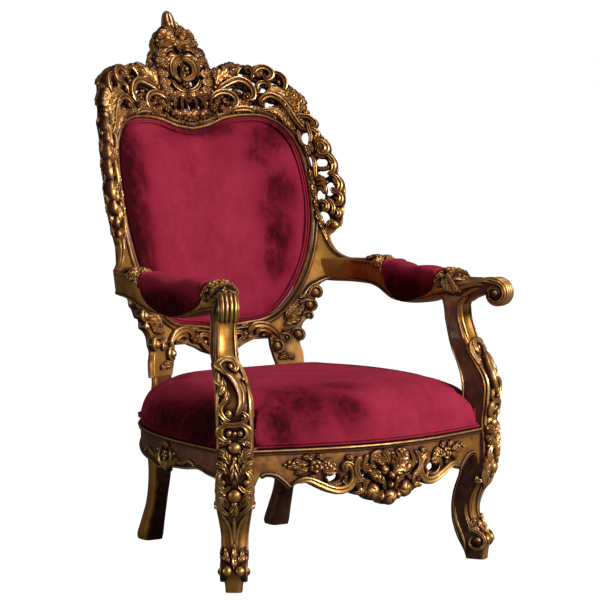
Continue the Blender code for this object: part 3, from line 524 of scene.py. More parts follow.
def both(name, parts, finish):  # the right-hand piece and its mirror image
    for hand, made in (("right", parts), ("left", [flipped(p) for p in parts])):
        finished(pieceFrom(f"{name}_{hand}_carved", made), f"{name}_{hand}", finish)


panelHalf = [
    (0.000, 1.150), (0.055, 1.160), (0.110, 1.180), (0.170, 1.188), (0.225, 1.183), (0.270, 1.155),
    (0.299, 1.100), (0.311, 1.010), (0.310, 0.920), (0.298, 0.840), (0.275, 0.765), (0.240, 0.695),
    (0.195, 0.640), (0.150, 0.612), (0.100, 0.603), (0.050, 0.597), (0.000, 0.584),
]
panelRight = smooth(panelHalf, 6)  # the opening that the back's upholstery fills, from its top middle down
crestJoint, lowJoint = (0.2935, 1.118), (0.150, 0.612)  # where the back's rails meet the posts, at the panel


def panelPart(first, last):  # the panel's right edge between two of its points
    i, j = (int(np.argmin(np.linalg.norm(panelRight - p, axis=1))) for p in (first, last))
    return panelRight[i : j + 1]


# the gilded lip round the panel: two beads and the hollow between them, as (outward, proud, tone)
lip = [
    (-0.002, -0.012, 0.05), (-0.003, 0.002, 0.15), (-0.001, 0.006, 0.50), (0.003, 0.0075, 0.62),
    (0.006, 0.0045, 0.18), (0.009, 0.0035, 0.12), (0.012, 0.0060, 0.45), (0.015, 0.0075, 0.66),
    (0.018, 0.0055, 0.45), (0.020, 0.001, 0.1), (0.020, -0.012, 0.05),
]
lipProfile = [(-a, b, t) for a, b, t in lip]  # the panel is on the other side of the path
filletProfile = [
    (-0.001, -0.010, 0.05), (-0.001, 0.001, 0.2), (0.001, 0.0045, 0.9), (0.0035, 0.0045, 0.9),
    (0.0055, 0.001, 0.2), (0.0075, 0.0005, 0.15), (0.0095, 0.003, 0.8), (0.0115, 0.001, 0.2),
    (0.0115, -0.010, 0.05),
]
print("faces, panel and carving tools ready")

crest = {
    "outline": [
        (0.000, 1.462), (0.018, 1.458), (0.032, 1.446), (0.032, 1.430), (0.050, 1.426), (0.060, 1.408),
        (0.066, 1.384), (0.084, 1.366), (0.088, 1.342), (0.092, 1.320), (0.092, 1.298), (0.108, 1.316),
        (0.133, 1.328), (0.160, 1.336), (0.188, 1.328), (0.213, 1.324), (0.243, 1.328), (0.268, 1.318),
        (0.294, 1.298), (0.302, 1.272), (0.318, 1.250), (0.320, 1.222), (0.334, 1.196), (0.352, 1.172),
    ],
    "holes": [
        (154, 1258, 25.2, 12.6, 8), (187, 1303, 14.4, 10.8, -60), (213, 1281, 9.6, 7.8, -40),
        (237, 1262, 13.2, 8.4, 0), (271, 1272, 16.2, 9.6, -70), (243, 1220, 18.6, 9.6, -12),
        (118, 1233, 14.4, 9.6, 55), (11, 1217, 13.8, 7.8, 80), (37, 1218, 16.2, 6.6, 82),
        (35, 1361, 11.4, 6.2, 38), (24, 1286, 13.2, 9.6, 50), (198, 1216, 7.2, 4.8, 60),
    ],
    "topHole": (0, 1396, 6.5, 5, 0), "thickness": 0.034, "face": 0.0, "undercut": 0.009, "ground": 0.26,
    "scrolls": [
        ([(94, 1256), (118, 1270), (145, 1283), (170, 1289), (192, 1280), (205, 1260), (204, 1241)],
         18, 16, 4, None, (12, 1.1, -1)),
        ([(70, 1230), (88, 1246), (110, 1254), (134, 1251), (150, 1237), (150, 1221)],
         16, 14, 3, None, (9, 1.0, -1)),
        ([(130, 1200), (155, 1206), (180, 1206), (200, 1198)], 16, 12, 2),
        ([(221, 1229), (238, 1241), (258, 1241), (278, 1227), (292, 1203), (303, 1177), (318, 1152),
         (334, 1142)], 16, 16, 6, (8.5, 1.1, 1), None),
        ([(192, 1318), (203, 1327), (213, 1320), (214, 1304), (206, 1291)], 12, 13, 4),
        ([(190, 1328), (176, 1320), (167, 1304), (171, 1291)], 10, 11, 3),
        ([(214, 1300), (225, 1318), (246, 1325), (264, 1315), (265, 1299), (254, 1290)],
         17, 16, 6, None, (8, 0.9, -1)),
        ([(262, 1302), (281, 1309), (297, 1295), (298, 1272), (286, 1252)], 13, 14, 4),
        ([(259, 1294), (256, 1276), (263, 1256)], 9, 11, 3),
        ([(217, 1248), (220, 1272), (236, 1282), (252, 1276), (257, 1256)], 10, 11, 3),
        ([(308, 1192), (326, 1184), (344, 1182), (358, 1169)], 14, 14, 4, None, (9.5, 1.1, -1)),
        ([(0, 1352), (24, 1347), (41, 1330), (44, 1306), (38, 1294)], 13, 13, 10),
        ([(0, 1256), (22, 1259), (40, 1271), (50, 1290)], 12, 12, 8),
        ([(16, 1374), (34, 1377), (50, 1366), (49, 1350)], 10, 11, 3),
        ([(0, 1238), (12, 1239), (23, 1232), (25, 1204)], 8, 10, 3),
        ([(28, 1240), (40, 1239), (49, 1226), (50, 1206)], 8, 10, 3),
        ([(206, 1214), (222, 1204), (248, 1204), (266, 1212)], 9, 10, 2),
    ],
    "leaves": [
        ([(6, 1396), (22, 1412), (42, 1418), (58, 1406)], 26, 14, 5, 5, 2),
        ([(6, 1414), (18, 1430), (34, 1438)], 20, 13, 3, 4, 2),
        ([(30, 1396), (48, 1396), (64, 1384)], 18, 12, 3, 4),
        ([(236, 1246), (262, 1250), (286, 1230), (304, 1198), (322, 1166)], 36, 16, 4, 7, 2),
        ([(268, 1216), (288, 1196), (300, 1166)], 24, 14, 3, 5),
        ([(98, 1274), (112, 1292), (130, 1304), (148, 1318), (166, 1338)], 34, 14, 4, 5),
        ([(100, 1284), (104, 1304), (113, 1324)], 20, 11, 2, 3, 4),
        ([(140, 1298), (152, 1310), (158, 1330)], 18, 16, 6, 3),
        ([(128, 1300), (134, 1318), (140, 1332)], 16, 12, 3, 3),
        ([(160, 1306), (172, 1322), (184, 1334)], 16, 12, 3, 3),
        ([(216, 1300), (230, 1304), (242, 1316)], 14, 14, 8, 3),
        ([(300, 1198), (309, 1222), (311, 1246), (305, 1272)], 26, 13, 3, 5),
        ([(318, 1186), (324, 1206), (328, 1228), (324, 1254)], 24, 13, 4, 5),
        ([(332, 1180), (337, 1192), (336, 1206)], 14, 10, 3, 3),
        ([(286, 1238), (296, 1252), (300, 1262)], 16, 12, 3, 3),
        ([(238, 1204), (262, 1196), (284, 1174), (300, 1142)], 26, 11, 3, 6),
        ([(252, 1214), (272, 1200), (288, 1178)], 14, 10, 3, 4),
        ([(44, 1322), (58, 1336), (66, 1352)], 24, 13, 4, 4),
        ([(48, 1304), (68, 1306), (86, 1318)], 24, 13, 4, 4),
        ([(48, 1284), (68, 1282), (88, 1292)], 24, 13, 5, 4),
        ([(44, 1262), (62, 1260), (82, 1268)], 22, 12, 4, 4),
        ([(52, 1338), (68, 1344), (86, 1346)], 18, 12, 3, 3),
        ([(46, 1352), (62, 1360), (78, 1364)], 17, 12, 3, 3),
        ([(12, 1384), (36, 1390), (60, 1388)], 18, 13, 4, 4),
        ([(40, 1376), (54, 1372), (68, 1376)], 14, 11, 3, 3),
        ([(0, 1240), (20, 1248), (40, 1250), (62, 1244)], 16, 11, 4, 4),
        ([(100, 1218), (108, 1208), (122, 1200)], 16, 10, 3, 3),
        ([(150, 1218), (168, 1222), (188, 1216)], 20, 12, 3, 4),
        ([(138, 1216), (128, 1206), (112, 1202)], 14, 10, 3, 3),
        ([(0, 1184), (14, 1194), (34, 1196)], 16, 9, 3, 3),
        ([(30, 1186), (46, 1196), (64, 1194)], 14, 9, 3, 3),
        ([(190, 1206), (206, 1206), (226, 1200)], 14, 9, 2, 3),
        ([(86, 1212), (92, 1224), (104, 1230)], 14, 10, 3, 3),
        ([(200, 1240), (206, 1250), (216, 1262)], 12, 11, 3, 3),
        ([(262, 1246), (276, 1244), (292, 1236)], 14, 11, 3, 3),
    ],
    "flowers": [
        (183, 1237, 15, 18, 5, 4), (78, 1210, 13, 12, 5, 3), (224, 1265, 7, 10, 4, 4),
        (55, 1240, 10, 11, 5, 3), (255, 1277, 6.5, 10, 4, 4), (62, 1392, 8.5, 12, 4, 2),
        (92, 1244, 8, 11, 4, 4),
    ],
    "beads": [
        (22, 1436, 12, 0), (12, 1450, 9.5, 2), (118, 1227, 4.5, 4), (350, 1166, 6, 8), (96, 1268, 6, 6),
        (84, 1256, 5, 6), (60, 1222, 5, 5), (10, 1202, 4.5, 4), (64, 1404, 6, 2), (286, 1300, 5, 8),
    ],
}
crestMiddle = {  # what stands on the centre line
    "leaves": [
        ([(6, 1378), (-10, 1394), (-30, 1402), (-46, 1396)], 26, 15, 6, 4, 3),
        ([(4, 1366), (0, 1386), (-8, 1404), (-20, 1418)], 22, 14, 5, 4, 2),
        ([(4, 1352), (26, 1350), (46, 1334), (52, 1310)], 26, 14, 6, 4, 2),
        ([(-4, 1352), (-26, 1350), (-46, 1334), (-52, 1310)], 26, 14, 6, 4, 2),
    ],
    "scrolls": [
        ([(-4, 1380), (10, 1392), (28, 1394), (40, 1404), (38, 1418)], 12, 14, 8, None, (12, 1.1, 1)),
        ([(-2, 1412), (6, 1426), (18, 1430)], 10, 12, 6, None, (7, 0.9, -1)),
        ([(-6, 1346), (18, 1342), (32, 1322), (26, 1298), (6, 1288)], 13, 15, 8, None, (15, 1.2, -1)),
        ([(-14, 1282), (-32, 1298), (-32, 1322), (-16, 1338)], 13, 14, 7, None, (10, 0.9, -1)),
    ],
    "flowers": [(1, 1313, 15, 14, 5, 14, 0.4), (0, 1276, 14, 13, 5, 6), (-10, 1432, 12, 14, 5, 4)],
    "shells": [(0, 1262, 24, 12, -90, 150, 7, 4)],
    "beads": [(12, 1440, 8.5, 4), (1, 1313, 5.5, 28), (0, 1452, 9, 0), (0, 1196, 7, 4)],
}
edging = {"pitch": 0.0330, "width": 0.0270, "height": 0.0095, "middle": -0.0150}


def edgeLeaves(outline):  # a row of leaves and berries that wraps the sawn edge of the back
    path = evenly(outline, int(lengthOf(np.asarray(outline, float)) / 0.0015))
    steps = distancesAlong(path)
    soft = [np.convolve(np.pad(path[:, k], 6, "edge"), np.ones(13) / 13, "valid") for k in (0, 1)]
    out = leftOf(np.array(soft).T)
    carving = newCarving()
    count = max(1, round(steps[-1] / edging["pitch"]))
    pitch = steps[-1] / count
    for k in range(count):
        s, middle, sway = k * pitch, edging["middle"], 0.003 * (-1) ** k
        ends = (s - 0.003, middle - sway), (s + 1.12 * pitch, middle - sway)
        run = [ends[0], (s + 0.5 * pitch, middle + sway), ends[1]]
        carveLeaf(carving, run, edging["width"], edging["height"], 0.0008, 4, 0.0020)
        carveBead(carving, s + 0.08 * pitch, middle + 0.012 * (-1) ** k, 0.0056, -0.0005)

    def surface(s, w, proud):
        u, v, du, dv = (np.interp(s, steps, a) for a in (path[:, 0], path[:, 1], out[:, 0], out[:, 1]))
        return onBack(u + proud * du, v + proud * dv, w)

    return placed(carving, surface)


def inside(point, ring):
    ring = np.asarray(ring, float)
    after = np.roll(ring, -1, axis=0)
    crossing = (ring[:, 1] > point[1]) != (after[:, 1] > point[1])
    slope = (after[:, 0] - ring[:, 0]) / np.where(after[:, 1] == ring[:, 1], 1, after[:, 1] - ring[:, 1])
    return (crossing & (point[0] < ring[:, 0] + (point[1] - ring[:, 1]) * slope)).sum() % 2 == 1


# little curls and leaves that fill the ground between the scrolls
def smallCurls(carving, outline, holes, pitch, clear):
    edge = evenly(outline, 600, True)
    low, high = edge.min(0), edge.max(0)
    turn = 0
    for v in np.arange(low[1], high[1], pitch * 0.86):
        turn += 1
        for u in np.arange(max(low[0], 0.006) + (turn % 2) * pitch / 2, high[0], pitch):
            point = np.array([u, v]) + rng.uniform(-0.25, 0.25, 2) * pitch
            heading, kind, way = rng.uniform(0, 2 * math.pi), rng.random(), rng.choice([-1, 1])
            near = [np.linalg.norm(edge - point, axis=1).min() - clear]
            near += [np.linalg.norm(hole - point, axis=1).min() - 0.006 for hole in holes]
            if min(near) < 0 or not inside(point, edge):
                continue
            along = np.array([math.cos(heading), math.sin(heading)]) * 0.008
            bend = np.array([-along[1], along[0]]) * 0.5 * way
            run = [tuple(point - along), tuple(point + bend), tuple(point + along)]
            if kind < 0.6:
                carveScroll(carving, run, 0.0068, 0.0105, 0.0, None, (0.0046, 0.85, int(-way)))
            else:
                carveLeaf(carving, run, 0.0120, 0.0100, 0.0, 3)


def oval(u, v, halfLength, halfWidth, degrees):  # in millimetres
    a = np.arange(18) * 2 * math.pi / 18
    turn = math.radians(degrees)
    p, q = halfLength * np.cos(a), halfWidth * np.sin(a)
    ring = u + p * math.cos(turn) - q * math.sin(turn), v + p * math.sin(turn) + q * math.cos(turn)
    return (np.stack(ring, -1) / 1000).tolist()


def piercings(holes):  # on both halves
    return [oval(*hole) for hole in holes] + [oval(-u, v, a, b, -turn) for u, v, a, b, turn in holes]


def crestParts():
    outer = smooth(crest["outline"], 4)
    (startU, startV), (endU, endV) = crestJoint, (0.372, 1.205)
    inner = panelPart((0, 1.150), crestJoint)[::-1]
    half = [(u, v) for u, v in outer if (u - startU) * (endV - startV) < (v - startV) * (endU - startU)]
    half += [(0.3535, 1.1845)] + inner.tolist()
    outline = half + [(-u, v) for u, v in half[::-1]][1:-1]
    holes = piercings(crest["holes"]) + [oval(*crest["topHole"])]
    face, thickness, undercut = crest["face"], crest["thickness"], crest["undercut"]
    board = sawnBoard(outline, holes, face, thickness, onBack, tone=crest["ground"], undercut=undercut)
    usual = dict(chisel)
    chisel.update(broad=1.20, leafy=1.56, groove=0.40, stride=1.35)
    half = carve(crest)
    chisel.update(usual, stride=1.35, coarse=True)
    smallCurls(half, outline, [np.array(hole) for hole in holes], 0.0185, 0.011)
    carveMoulding(half, panelPart((0, 1.150), crestJoint), lipProfile)
    leaves = edgeLeaves(outer[10:])
    chisel.update(usual)
    middle = placed(carve(crestMiddle), onBack)
    return [board, placed(mirrored(half), onBack), middle, finialPart(), leaves, flipped(leaves)]


finial = {  # (rise, radius) up the bud, which is ribbed all round
    "foot": 1.446, "set": -0.016, "lean": 0.28, "ribs": 7,
    "profile": [
        (-0.004, 0.012), (0.001, 0.0200), (0.010, 0.0225), (0.022, 0.0205), (0.036, 0.0170), (0.046, 0.0120),
        (0.0505, 0.0060), (0.0525, 0.0010),
    ],
}


def finialPart():
    a = 2 * math.pi * np.arange(56) / 56
    rib = np.abs(np.sin(finial["ribs"] * a / 2)) ** 0.7
    foot = onBack(0, finial["foot"], finial["set"])
    rings, tones = [], []
    for rise, radius in smooth(finial["profile"], 4):
        r = max(radius, 0.0004) * (0.80 + 0.20 * rib)
        x, y = foot[0] + r * np.cos(a), foot[1] + rise * finial["lean"] + r * np.sin(a)
        rings.append(np.stack([x, y, foot[2] + rise + 0 * a], -1))
        tones.append(0.10 + 0.85 * rib)
    return lofted(rings, np.array(tones))


wing = {
    "edge": [
        (0.338, 1.196), (0.354, 1.172), (0.352, 1.150), (0.358, 1.128), (0.376, 1.110), (0.376, 1.082),
        (0.386, 1.050), (0.385, 1.015), (0.396, 0.990), (0.395, 0.962), (0.388, 0.930), (0.380, 0.900),
        (0.372, 0.872), (0.362, 0.856), (0.350, 0.846), (0.352, 0.824), (0.364, 0.800), (0.385, 0.785),
        (0.420, 0.779),
    ],
    "armRoot": [
        (0.420, 0.716), (0.380, 0.721), (0.345, 0.722), (0.318, 0.712), (0.304, 0.696), (0.304, 0.678),
        (0.294, 0.664), (0.288, 0.642), (0.274, 0.634), (0.276, 0.612), (0.260, 0.600), (0.250, 0.582),
        (0.248, 0.560), (0.242, 0.540), (0.249, 0.510), (0.250, 0.470),
    ],
    "inner": [(0.176, 0.470), (0.167, 0.500), (0.160, 0.530), (0.159, 0.550), (0.1545, 0.560)],
    "holes": [
        (326.5, 1121, 17.5, 10.6, 80), (323.5, 1053, 16.9, 8.5, 85), (357, 1052, 13.7, 11.9, 15),
        (356, 1019, 20, 10, 24), (367, 976, 19.4, 10.6, 72), (341, 957, 15.6, 9.7, 80),
        (341, 893, 18.1, 13.1, 90),
    ],
    "thickness": 0.036, "face": 0.0, "undercut": 0.006, "carvedAbove": 0.875,
    "scrolls": [
        ([(338, 1150), (352, 1144), (360, 1132), (352, 1120)], 12, 13, 4),
        ([(336, 1172), (338, 1150), (340, 1124), (332, 1104)], 10, 12, 3),
        ([(310, 1150), (308, 1128), (312, 1106), (324, 1098)], 9, 10, 3),
        ([(344, 1106), (362, 1112), (376, 1102), (376, 1086), (364, 1078)], 15, 15, 5, None, (8, 0.9, -1)),
        ([(366, 1078), (382, 1068), (389, 1048), (382, 1026), (366, 1018)], 13, 14, 4),
        ([(340, 1076), (352, 1070), (370, 1066)], 9, 11, 4),
        ([(336, 1044), (350, 1034), (368, 1036), (378, 1044)], 9, 12, 5),
        ([(334, 1074), (338, 1052), (336, 1030), (334, 1004)], 10, 12, 4),
        ([(374, 1018), (390, 1010), (398, 992), (392, 974), (380, 968)], 14, 15, 5, None, (7, 0.9, -1)),
        ([(332, 1000), (346, 1002), (358, 994), (366, 1000)], 8, 11, 4),
        ([(332, 988), (348, 990), (356, 978), (354, 960)], 8, 11, 4),
        ([(332, 976), (344, 976), (350, 962)], 7, 10, 3),
        ([(382, 966), (394, 958), (392, 940), (380, 932)], 13, 14, 5, None, (6, 0.9, -1)),
        ([(354, 950), (366, 938), (370, 918), (360, 900)], 10, 13, 5),
        ([(330, 936), (342, 942), (354, 934), (354, 920)], 11, 13, 4, None, (7.5, 1.0, -1)),
        ([(366, 922), (380, 916), (382, 902), (370, 894)], 11, 12, 4),
        ([(324, 918), (330, 896), (334, 880), (342, 872)], 9, 11, 3),
        ([(344, 868), (352, 880), (366, 886)], 10, 12, 3),
    ],
    "leaves": [
        ([(345, 1084), (356, 1096), (368, 1112)], 22, 13, 6, 4),
        ([(350, 1110), (352, 1124), (348, 1138)], 16, 12, 4, 3),
        ([(320, 1104), (324, 1088), (322, 1070)], 18, 11, 3, 4),
        ([(330, 1110), (336, 1096), (338, 1080)], 14, 11, 4, 3),
        ([(376, 1060), (384, 1050), (386, 1036)], 14, 11, 8, 3),
        ([(378, 1006), (388, 998), (390, 984)], 14, 12, 8, 3),
        ([(322, 1036), (324, 1018), (322, 998)], 14, 10, 3, 4),
        ([(322, 994), (324, 972), (322, 950)], 15, 10, 3, 5),
        ([(322, 948), (324, 934), (322, 918)], 13, 10, 3, 3),
        ([(322, 916), (326, 898), (330, 876), (334, 858)], 16, 10, 2, 5),
        ([(374, 944), (370, 930), (374, 914)], 14, 12, 4, 3),
        ([(306, 1176), (318, 1166), (322, 1150)], 18, 11, 3, 4),
        ([(334, 1020), (346, 1010), (360, 1004)], 12, 11, 4, 3),
        # the engraved foliage low on the stile
        ([(204, 606), (216, 622), (232, 640), (250, 656)], 20, 7, 1, 5),
        ([(218, 604), (234, 618), (250, 632), (262, 648)], 20, 8, 2, 5),
        ([(200, 588), (216, 596), (234, 602), (250, 612)], 18, 8, 2, 4),
        ([(196, 576), (208, 568), (222, 566)], 14, 8, 2, 3),
        ([(246, 664), (258, 668), (272, 664)], 12, 8, 2, 3),
        ([(176, 494), (190, 498), (206, 498)], 14, 8, 2, 3),
        ([(202, 502), (214, 498), (226, 494)], 12, 8, 2, 3),
        ([(178, 514), (194, 508), (210, 506)], 10, 7, 2, 3),
    ],
    "flowers": [
        (357, 1096, 8.5, 16, 5, 6), (385, 990, 8, 14, 5, 8), (383, 946, 7.5, 13, 4, 7),
        (323, 1080, 7.5, 11, 4, 3), (212, 611, 9.5, 9, 5, 3), (324, 964, 6.5, 10, 4, 3),
    ],
    "beads": [
        (366, 874, 13, 3), (378, 905, 8.5, 3), (294, 679, 14.5, 3), (276, 643, 13.5, 3), (270, 613, 8.5, 3),
        (238, 561, 13.5, 3), (176, 529, 14, 3), (342, 928, 7, 6), (352, 1158, 7, 4), (371, 1036, 5, 6),
        (340, 944, 4.5, 5), (206, 553, 6, 4),
    ],
    "rolls": [
        ([(262, 668), (276, 674), (284, 690), (298, 698), (309, 690), (309, 674), (298, 664)], 7, 9, 2),
        ([(244, 650), (258, 656), (270, 660), (288, 656), (293, 642), (284, 630), (270, 629)], 7, 9, 2),
        ([(252, 612), (262, 624), (276, 624), (281, 612), (274, 603)], 6, 8, 2),
        ([(216, 572), (230, 578), (246, 576), (254, 562), (248, 548), (234, 545)], 7, 9, 2),
        ([(166, 548), (180, 547), (192, 538), (192, 522), (180, 513), (166, 516)], 7, 9, 2),
        ([(188, 562), (200, 566), (214, 560), (214, 546), (202, 542)], 6, 8, 2),
    ],
}
shoulderFillets = [  # mouldings of the plain shoulder: over the arm, and under it
    [
        (0.3480, 0.872), (0.3415, 0.852), (0.3445, 0.828), (0.3560, 0.805), (0.3740, 0.789), (0.3960, 0.780),
        (0.4150, 0.778),
    ],
    [
        (0.4150, 0.7165), (0.3900, 0.7205), (0.3600, 0.7240), (0.3280, 0.7180), (0.3020, 0.7060),
        (0.2850, 0.6960), (0.2660, 0.6720),
    ],
]
stileLine = [(0.3190, 0.905), (0.3290, 0.872), (0.3370, 0.846), (0.3420, 0.826)]


def postParts():
    outline = smooth(wing["edge"][2:-1], 4).tolist() + [(0.3985, 0.7810), (0.3985, 0.7185)]
    outline += smooth(wing["armRoot"][1:], 4).tolist() + wing["inner"]
    outline += panelPart(crestJoint, lowJoint)[::-1].tolist() + [(0.3535, 1.1840), (0.3560, 1.1680)]
    holes = [oval(*hole) for hole in wing["holes"]]
    board = sawnBoard(outline, holes, wing["face"], wing["thickness"], onBack, undercut=wing["undercut"])
    board[1][:] *= np.where(board[0][:, 2] > wing["carvedAbove"], 0.45, 1.22)
    carving = carve(wing)
    for roll in wing["rolls"]:
        carveScroll(carving, *inMetres("scrolls", roll), None, None, 0.15)
    carveMoulding(carving, panelPart(crestJoint, lowJoint), lipProfile)
    for path in shoulderFillets:
        carveMoulding(carving, smooth(path, 6), filletProfile)
    carveScroll(carving, stileLine, 0.007, 0.006, 0.0, None, None, 0.2)
    return [board, placed(carving, onBack), edgeLeaves(smooth(wing["edge"][1:13], 4)), rearLegPart()]


rearLeg = {  # (height, depth of its middle, half depth, half width)
    "x": 0.213, "stations": [
        (0.000, 0.300, 0.0285, 0.0290), (0.004, 0.3005, 0.0295, 0.0300), (0.018, 0.298, 0.0310, 0.0312),
        (0.060, 0.282, 0.0280, 0.0280), (0.120, 0.260, 0.0255, 0.0245), (0.200, 0.244, 0.0250, 0.0280),
        (0.290, 0.241, 0.0250, 0.0360), (0.370, 0.2335, 0.0220, 0.0362), (0.430, 0.2315, 0.0150, 0.0368),
        (0.465, 0.2324, 0.0117, 0.0370), (0.500, 0.2366, 0.0106, 0.0360),
    ],
}


def rearLegPart():
    rings = []
    for z, y, halfDepth, halfWidth in smooth(rearLeg["stations"], 6):
        a, b = roundedRing(halfWidth, halfDepth, 32, 4.5)
        x = rearLeg["x"] + a
        follow = back["wrap"] * (x**2 - rearLeg["x"] ** 2) * np.clip((z - 0.37) / 0.08, 0, 1)
        rings.append(np.stack([x, y + b - follow, 0 * a + z], -1))
    # painted light and shade: the outer face is painted lighter than the others
    return lofted(rings, 0.36 + 0.26 * np.clip(a / halfWidth * 2.2 - 1.1, 0, 1))


lowRail = {
    "foot": [
        (0.1555, 0.552), (0.150, 0.552), (0.110, 0.551), (0.080, 0.539), (0.055, 0.525), (0.025, 0.515),
        (0.000, 0.506),
    ],
    "thickness": 0.024, "face": 0.0,
    "scrolls": [
        ([(90, 566), (108, 588), (134, 592), (160, 584), (178, 566), (184, 552)], 17, 13, 3),
        ([(112, 566), (128, 578), (148, 576), (166, 562)], 13, 12, 3),
        ([(20, 520), (44, 530), (62, 548), (80, 566)], 12, 11, 2),
        ([(30, 556), (46, 570), (66, 572), (74, 562)], 11, 11, 3, None, (6, 0.9, -1)),
        ([(6, 566), (18, 576), (30, 572)], 9, 10, 2),
    ],
    "leaves": [
        ([(66, 548), (78, 562), (86, 580)], 16, 11, 4, 4),
        ([(84, 552), (94, 564), (100, 582)], 14, 11, 4, 3),
        ([(10, 540), (30, 548), (46, 560)], 18, 11, 3, 4),
        ([(126, 560), (146, 564), (162, 556)], 10, 9, 3, 3),
        ([(70, 590), (86, 594), (104, 592)], 10, 7, 2, 3),
    ],
    "beads": [(52, 552, 7, 4), (24, 562, 5, 4)],
}
lowRailMiddle = {
    "flowers": [(0, 552, 18, 14, 5, 3)],
    "leaves": [
        ([(0, 545), (0, 528), (0, 510)], 24, 12, 3, 4), ([(0, 560), (0, 572), (0, 584)], 16, 8, 2, 3),
    ],
}


def lowRailParts():
    half = lowRail["foot"][::-1] + [(0.1555, 0.560), (0.1520, 0.6085)]
    half += panelPart(lowJoint, (0, 0.584))[1:].tolist()
    outline = half + [(-x, z) for x, z in half[::-1]][1:-1]
    board = sawnBoard(outline, [], lowRail["face"], lowRail["thickness"], onBack)
    carving = carve(lowRail)
    carveMoulding(carving, panelPart(lowJoint, (0, 0.584)), lipProfile)
    return [board, placed(mirrored(carving), onBack), placed(carve(lowRailMiddle), onBack)]


